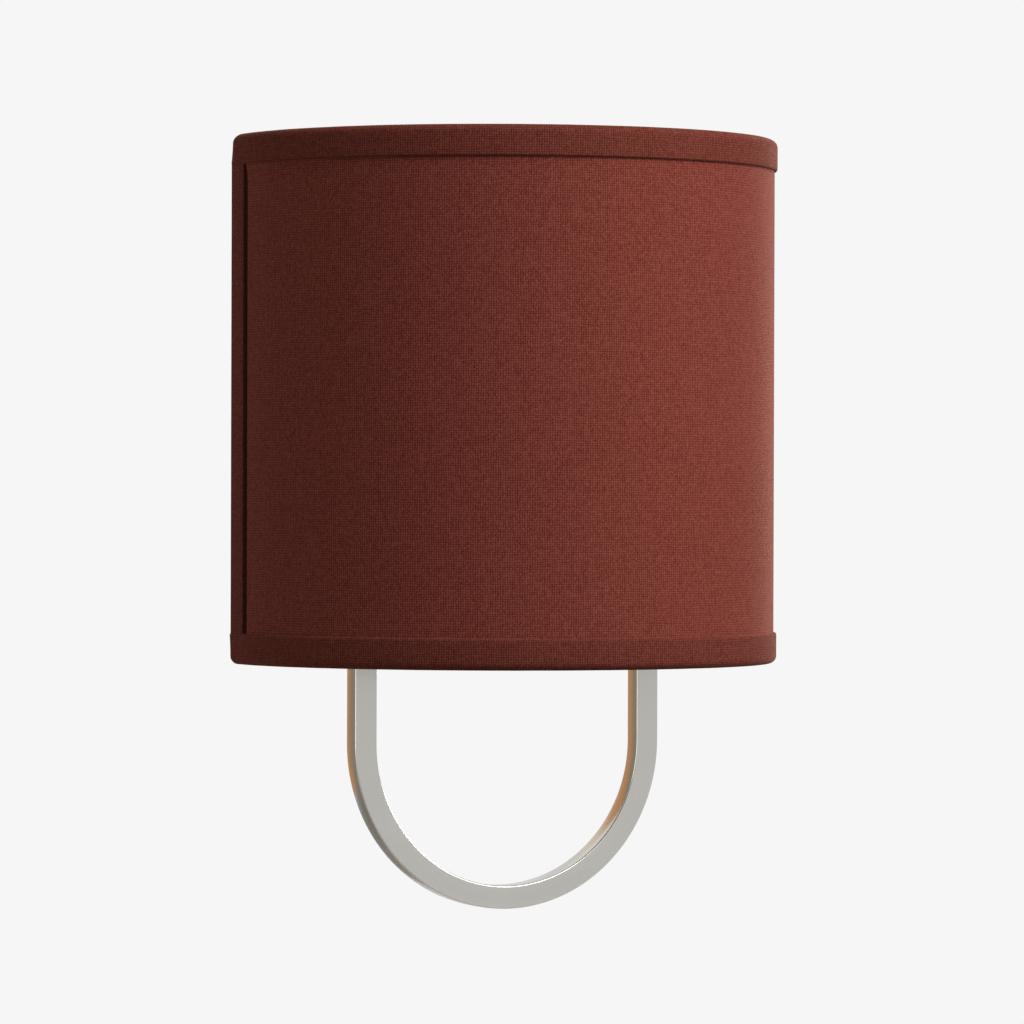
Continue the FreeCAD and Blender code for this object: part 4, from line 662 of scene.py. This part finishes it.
def ridged_turning():
    """Turns the object's own outline, x outwards and y along the axis, and sets copies of it out in rows.

    Between Ridge From and Ridge To it carries ribs along the axis or a screw thread. Above Cross Level a
    cross recess sinks into the head.
    """
    tree, given, made = new_tree("ridged_turning", "GeometryNodeTree", (
        ("Geometry", "Geometry"), ("Outline", "Geometry", None), ("Around", "Int", 64), ("Looped", "Int", 0),
        ("Ribs", "Int", 1), ("Rib Depth", "Float", 0.0), ("Thread Pitch", "Float", 0.001),
        ("Thread Depth", "Float", 0.0), ("Ridge From", "Float", 0.0), ("Ridge To", "Float", 0.0),
        ("Ridge Ease", "Float", 0.0004), ("Ridge Outside", "Float", 0.0), ("Cross Half", "Float", 0.0),
        ("Cross Reach", "Float", 0.0), ("Cross Depth", "Float", 0.0), ("Cross Level", "Float", 1.0),
        ("Turn", "Vector", (0, 0, 0)), ("Start", "Vector", (0, 0, 0)), ("Count", "Int", 1),
        ("Step", "Vector", (0, 0, 0)), ("Step Turn", "Vector", (0, 0, 0)), ("Rows", "Int", 1),
        ("Row Step", "Vector", (0, 0, 0)), ("Material", "Material", None)))
    points = add(tree, "GeometryNodeAttributeDomainSize", {0: given["Outline"]}).outputs["Point Count"]
    ring = calc(tree, "ADD", given["Around"], 1.0)
    long = calc(tree, "ADD", points, given["Looped"])
    grid = add(tree, "GeometryNodeMeshGrid", {"Vertices X": long, "Vertices Y": ring}).outputs[0]
    index = add(tree, "GeometryNodeInputIndex").outputs[0]
    row = calc(tree, "FLOOR", calc(tree, "DIVIDE", calc(tree, "ADD", index, 0.5), ring))
    angle = calc(tree, "MULTIPLY_ADD", row, calc(tree, "MULTIPLY", ring, -1.0), index)
    angle = calc(tree, "MULTIPLY", calc(tree, "DIVIDE", angle, given["Around"]), math.tau)
    place = add(tree, "GeometryNodeInputPosition").outputs[0]
    corner = calc(tree, "MODULO", row, points)
    outline = add(tree, "GeometryNodeSampleIndex",
                  {"Geometry": given["Outline"], "Value": place, "Index": corner},
                  data_type="FLOAT_VECTOR").outputs[0]
    parts = add(tree, "ShaderNodeSeparateXYZ", {0: outline}).outputs
    ridged = calc(tree, "GREATER_THAN", parts[0], given["Ridge Outside"])
    for end, inwards in (("Ridge From", "ADD"), ("Ridge To", "SUBTRACT")):
        full = calc(tree, inwards, given[end], given["Ridge Ease"])
        eased = add(tree, "ShaderNodeMapRange", {0: parts[1], 1: given[end], 2: full},
                    interpolation_type="SMOOTHSTEP").outputs[0]
        ridged = calc(tree, "MULTIPLY", ridged, eased)
    rib = calc(tree, "COSINE", calc(tree, "MULTIPLY", angle, given["Ribs"]))
    climb = calc(tree, "MULTIPLY", calc(tree, "DIVIDE", parts[1], given["Thread Pitch"]), math.tau)
    thread = calc(tree, "COSINE", calc(tree, "SUBTRACT", climb, angle))
    cut = calc(tree, "MULTIPLY", calc(tree, "MULTIPLY_ADD", rib, -0.5, 0.5), given["Rib Depth"])
    cut = calc(tree, "MULTIPLY_ADD", calc(tree, "MULTIPLY_ADD", thread, -0.5, 0.5), given["Thread Depth"], cut)
    radius = calc(tree, "SUBTRACT", parts[0], calc(tree, "MULTIPLY", cut, ridged))
    radius = calc(tree, "MAXIMUM", radius, 0.0)
    x = calc(tree, "MULTIPLY", radius, calc(tree, "COSINE", angle))
    y = calc(tree, "MULTIPLY", radius, calc(tree, "SINE", angle))
    arm = calc(tree, "MINIMUM", calc(tree, "ABSOLUTE", x), calc(tree, "ABSOLUTE", y))
    sunk = given["Cross Depth"]
    for test, value, limit in (("LESS_THAN", arm, "Cross Half"), ("LESS_THAN", radius, "Cross Reach"),
                               ("GREATER_THAN", parts[1], "Cross Level")):
        sunk = calc(tree, "MULTIPLY", sunk, calc(tree, test, value, given[limit]))
    spot = add(tree, "ShaderNodeCombineXYZ", {0: x, 1: y, 2: calc(tree, "SUBTRACT", parts[1], sunk)}).outputs[0]
    turned = add(tree, "GeometryNodeSetPosition", {"Geometry": grid, "Position": spot}).outputs[0]
    turned = add(tree, "GeometryNodeMergeByDistance", {"Geometry": turned, "Distance": 0.000002}).outputs[0]
    turned = add(tree, "GeometryNodeTransform", {"Geometry": turned, "Rotation": given["Turn"]}).outputs[0]
    line = add(tree, "GeometryNodeMeshLine",
               {"Count": given["Count"], "Start Location": given["Start"], "Offset": given["Step"]}).outputs[0]
    facing = add(tree, "ShaderNodeVectorMath", {0: given["Step Turn"], "Scale": index},
                 operation="SCALE").outputs[0]
    facing = add(tree, "FunctionNodeEulerToRotation", {0: facing}).outputs[0]
    copies = add(tree, "GeometryNodeInstanceOnPoints",
                 {"Points": line, "Instance": turned, "Rotation": facing}).outputs[0]
    line = add(tree, "GeometryNodeMeshLine", {"Count": given["Rows"], "Offset": given["Row Step"]}).outputs[0]
    copies = add(tree, "GeometryNodeInstanceOnPoints", {"Points": line, "Instance": copies}).outputs[0]
    copies = add(tree, "GeometryNodeRealizeInstances", {0: copies}).outputs[0]
    copies = add(tree, "GeometryNodeSetMaterial",
                 {"Geometry": copies, "Material": given["Material"]}).outputs[0]
    tree.links.new(copies, made[0])
    return tree


def runs(corners, step):
    """A line through corners (x, y, fine), with points every step or closer after a corner that is fine."""
    line = []
    for (x, y, fine), (to_x, to_y, _) in zip(corners, corners[1:]):
        parts = max(1, math.ceil(math.dist((x, y), (to_x, to_y)) / step)) if fine else 1
        line += [(x + (to_x - x) * i / parts, y + (to_y - y) * i / parts) for i in range(parts)]
    return line + [corners[-1][:2]]


turning = ridged_turning()
PAN_FRONT, PAN_INSIDE = -0.016, -0.0148
FACING_OUT, FACING_WALL = (math.pi / 2, 0, 0), (-math.pi / 2, 0, 0)
STUD_AT = 0.053975  # above and below the middle
STUD_R, STUD_TIP, STUD_LONG, STUD_EDGE = 0.00205, 0.00185, 0.022, 0.0003
pair = {"count": 2, "step": (0, 0, 2 * STUD_AT), "turn": FACING_OUT, "closed": False}
outline = runs([(0, 0, 0), (STUD_TIP, 0, 0), (STUD_R, STUD_EDGE, 1), (STUD_R, STUD_LONG - STUD_EDGE, 0),
                (STUD_TIP, STUD_LONG, 0), (0, STUD_LONG, 0)], 0.00012)
stud_threads = grown("stud_threads", outline, turning, around=28, thread_pitch=0.0008, thread_depth=0.00035,
                     ridge_from=0.0, ridge_to=STUD_LONG, ridge_ease=0.0006, ridge_outside=0.001,
                     start=(0, 0, -STUD_AT), material=zinc, **pair)
NUT_R, NUT_MOUTH, NUT_EDGE = 0.0055, 0.0052, 0.0003
NUT_WALL, NUT_TALL = 0.0035, 0.009  # its upright wall, and its height over the dome
outline = runs([(0, 0, 0), (NUT_MOUTH, 0, 0), (NUT_R, NUT_EDGE, 1), (NUT_R, NUT_WALL, 0)], 0.0003)
outline += arc(0, NUT_WALL, NUT_R, 0, 90, 14)[1:-1] + [(0, NUT_TALL)]
knurled_caps = grown("knurled_caps", outline, turning, around=120, ribs=30, rib_depth=0.0003, ridge_from=0.0002,
                     ridge_to=0.0033, ridge_outside=0.005, start=(0, PAN_FRONT, -STUD_AT), material=pan_nickel,
                     **pair)
HEAD_R, HEAD_TALL, HEAD_ROUND = 0.0039, 0.0026, 0.00156
SHANK_R, SHANK_LONG = 0.002, 0.0072
SCREWS_LOW, SCREWS_APART = -0.072, 0.1  # the lower two's height, and how far up the upper two are
head = arc(HEAD_R - HEAD_ROUND, HEAD_TALL - HEAD_ROUND, HEAD_ROUND, 0, 90, 6)
outline = [(0, -SHANK_LONG), (SHANK_R, -SHANK_LONG), (SHANK_R, 0), (HEAD_R, 0)]
outline += head[:-1] + runs([(*head[-1], 1), (0, HEAD_TALL, 0)], 0.0001)
stirrup_screws = grown("stirrup_screws", outline, turning, closed=False, around=112, cross_half=0.00042,
                       cross_reach=0.0021, cross_depth=0.0012, cross_level=0.0025, turn=FACING_WALL, count=2,
                       start=(-BAR_MIDDLE, PAN_INSIDE, SCREWS_LOW), step=(2 * BAR_MIDDLE, 0, 0), rows=2,
                       row_step=(0, 0, SCREWS_APART), material=zinc)
for piece, node, finish in ((stud_threads, "mounting_studs", "zinc_steel"),
                            (knurled_caps, "cap_nuts", "satin_nickel"),
                            (stirrup_screws, "leg_screws", "zinc_steel")):
    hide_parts(node)
    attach(piece, "fixture")
green_zinc = coated("green_zinc", (0.02, 0.16, 0.05), (0.05, 0.3, 0.1), (0.3, 0.45), 300.0, Metallic=0.8)
dress(green_zinc, "earth_screw")

# ----------------------------------------------------------------------------------------- lampholder and leads
# Screw lampholder: fibre sleeve, porcelain block, brass screw shell and tongue, and two leads with twist-on
# connectors.
fibre_paper = coated("fibre_paper", (0.24, 0.13, 0.06), (0.36, 0.21, 0.11), (0.7, 0.85), 200.0)
porcelain = coated("porcelain", (0.76, 0.75, 0.70), (0.86, 0.85, 0.81), (0.3, 0.5), 80.0)
holder_brass = coated("holder_brass", (0.62, 0.42, 0.16), (0.78, 0.56, 0.26), (0.2, 0.35), 120.0, Metallic=1.0)
dress(fibre_paper, "insulating_sleeve")
dress(porcelain, "holder_block")
dress(holder_brass, "centre_contact")
LAMP_AXIS = (0, -0.066, 0)
THREAD_PITCH = 0.00363
SHELL_IN, SHELL_OUT = 0.0132, 0.0136
SHELL_LOW, SHELL_HIGH = -0.038, -0.0118
outline = runs([(SHELL_IN, SHELL_LOW, 0), (SHELL_OUT, SHELL_LOW, 1), (SHELL_OUT, SHELL_HIGH, 0),
                (SHELL_IN, SHELL_HIGH, 1), (SHELL_IN, SHELL_LOW, 0)], 0.0003)[:-1]
thread_shell = grown("thread_shell", outline, turning, around=64, looped=1, thread_pitch=THREAD_PITCH,
                     thread_depth=-0.0007, ridge_from=-0.033, ridge_to=-0.0122, ridge_ease=0.0015,
                     start=LAMP_AXIS, material=holder_brass)
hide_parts("screw_shell")
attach(thread_shell, "fixture")
black_insulation = coated("black_insulation", (0.012, 0.012, 0.012), (0.03, 0.03, 0.03), (0.35, 0.5), 200.0)
white_insulation = coated("white_insulation", (0.72, 0.72, 0.69), (0.82, 0.82, 0.79), (0.35, 0.5), 200.0)
connector_plastic = coated("connector_plastic", (0.62, 0.22, 0.025), (0.78, 0.31, 0.045), (0.4, 0.55), 150.0)
dress(black_insulation, "black_lead")
dress(white_insulation, "white_lead")
# x of the outline is the distance from the connector's own axis, y that from the middle of the pan
outline = [(0, 0.029), (0.0026, 0.029)]
outline += runs([(0.0034, 0.024, 0), (0.004, 0.024, 0), (0.004, 0.0303, 1), (0.0027, 0.0412, 0),
                 (0.0021, 0.042, 0), (0, 0.042, 0)], 0.0006)
ribbed_connectors = grown("ribbed_connectors", outline, turning, closed=False, around=96, ribs=12,
                          rib_depth=0.0005, ridge_from=0.0295, ridge_to=0.0416, ridge_ease=0.0012,
                          ridge_outside=0.0024, turn=(0, math.pi / 2, 0), start=(0, -0.0045, -0.074), count=2,
                          step_turn=(0, 0, math.pi), material=connector_plastic)
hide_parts("wire_connectors")
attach(ribbed_connectors, "fixture")

# --------------------------------------------------------------------------------------------------------- bulb
# Frosted glass globe on a screw cap of rolled aluminium, with a black glass foot and a contact of solder. It
# screws into the lampholder's brass shell.
frosted_glass = coated("frosted_glass", (0.86, 0.85, 0.81), (0.94, 0.93, 0.9), (0.42, 0.52), 40.0,
                       Transmission_Weight=0.35, IOR=1.45)
bulb_aluminium = coated("bulb_aluminium", (0.66, 0.66, 0.67), (0.8, 0.8, 0.81), (0.25, 0.4), 200.0,
                        Metallic=1.0)
black_glass = coated("black_glass", (0.01, 0.01, 0.01), (0.03, 0.03, 0.03), (0.1, 0.2), 200.0)
solder = coated("solder", (0.5, 0.5, 0.52), (0.66, 0.66, 0.68), (0.3, 0.5), 400.0, Metallic=1.0)
dress(frosted_glass, "bulb_glass")
dress(black_glass, "bulb_base")
dress(solder, "bulb_contact")
CAP_IN, CAP_OUT = 0.0124, 0.0129
FOOT_IN, FOOT_OUT = 0.0104, 0.0109
CAP_LOW, FOOT_TOP, CAP_HIGH = -0.026, -0.024, -0.006
outline = runs([(FOOT_IN, CAP_LOW, 0), (FOOT_OUT, CAP_LOW, 0), (CAP_OUT, FOOT_TOP, 1), (CAP_OUT, CAP_HIGH, 0),
                (CAP_IN, CAP_HIGH, 1), (CAP_IN, FOOT_TOP, 0), (FOOT_IN, CAP_LOW, 0)], 0.0003)[:-1]
thread_cap = grown("thread_cap", outline, turning, around=64, looped=1, thread_pitch=THREAD_PITCH,
                   thread_depth=0.0008, ridge_from=-0.0238, ridge_to=-0.0092, ridge_ease=0.0012,
                   ridge_outside=0.0115, start=LAMP_AXIS, material=bulb_aluminium)
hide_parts("bulb_cap")
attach(thread_cap, "bulb")
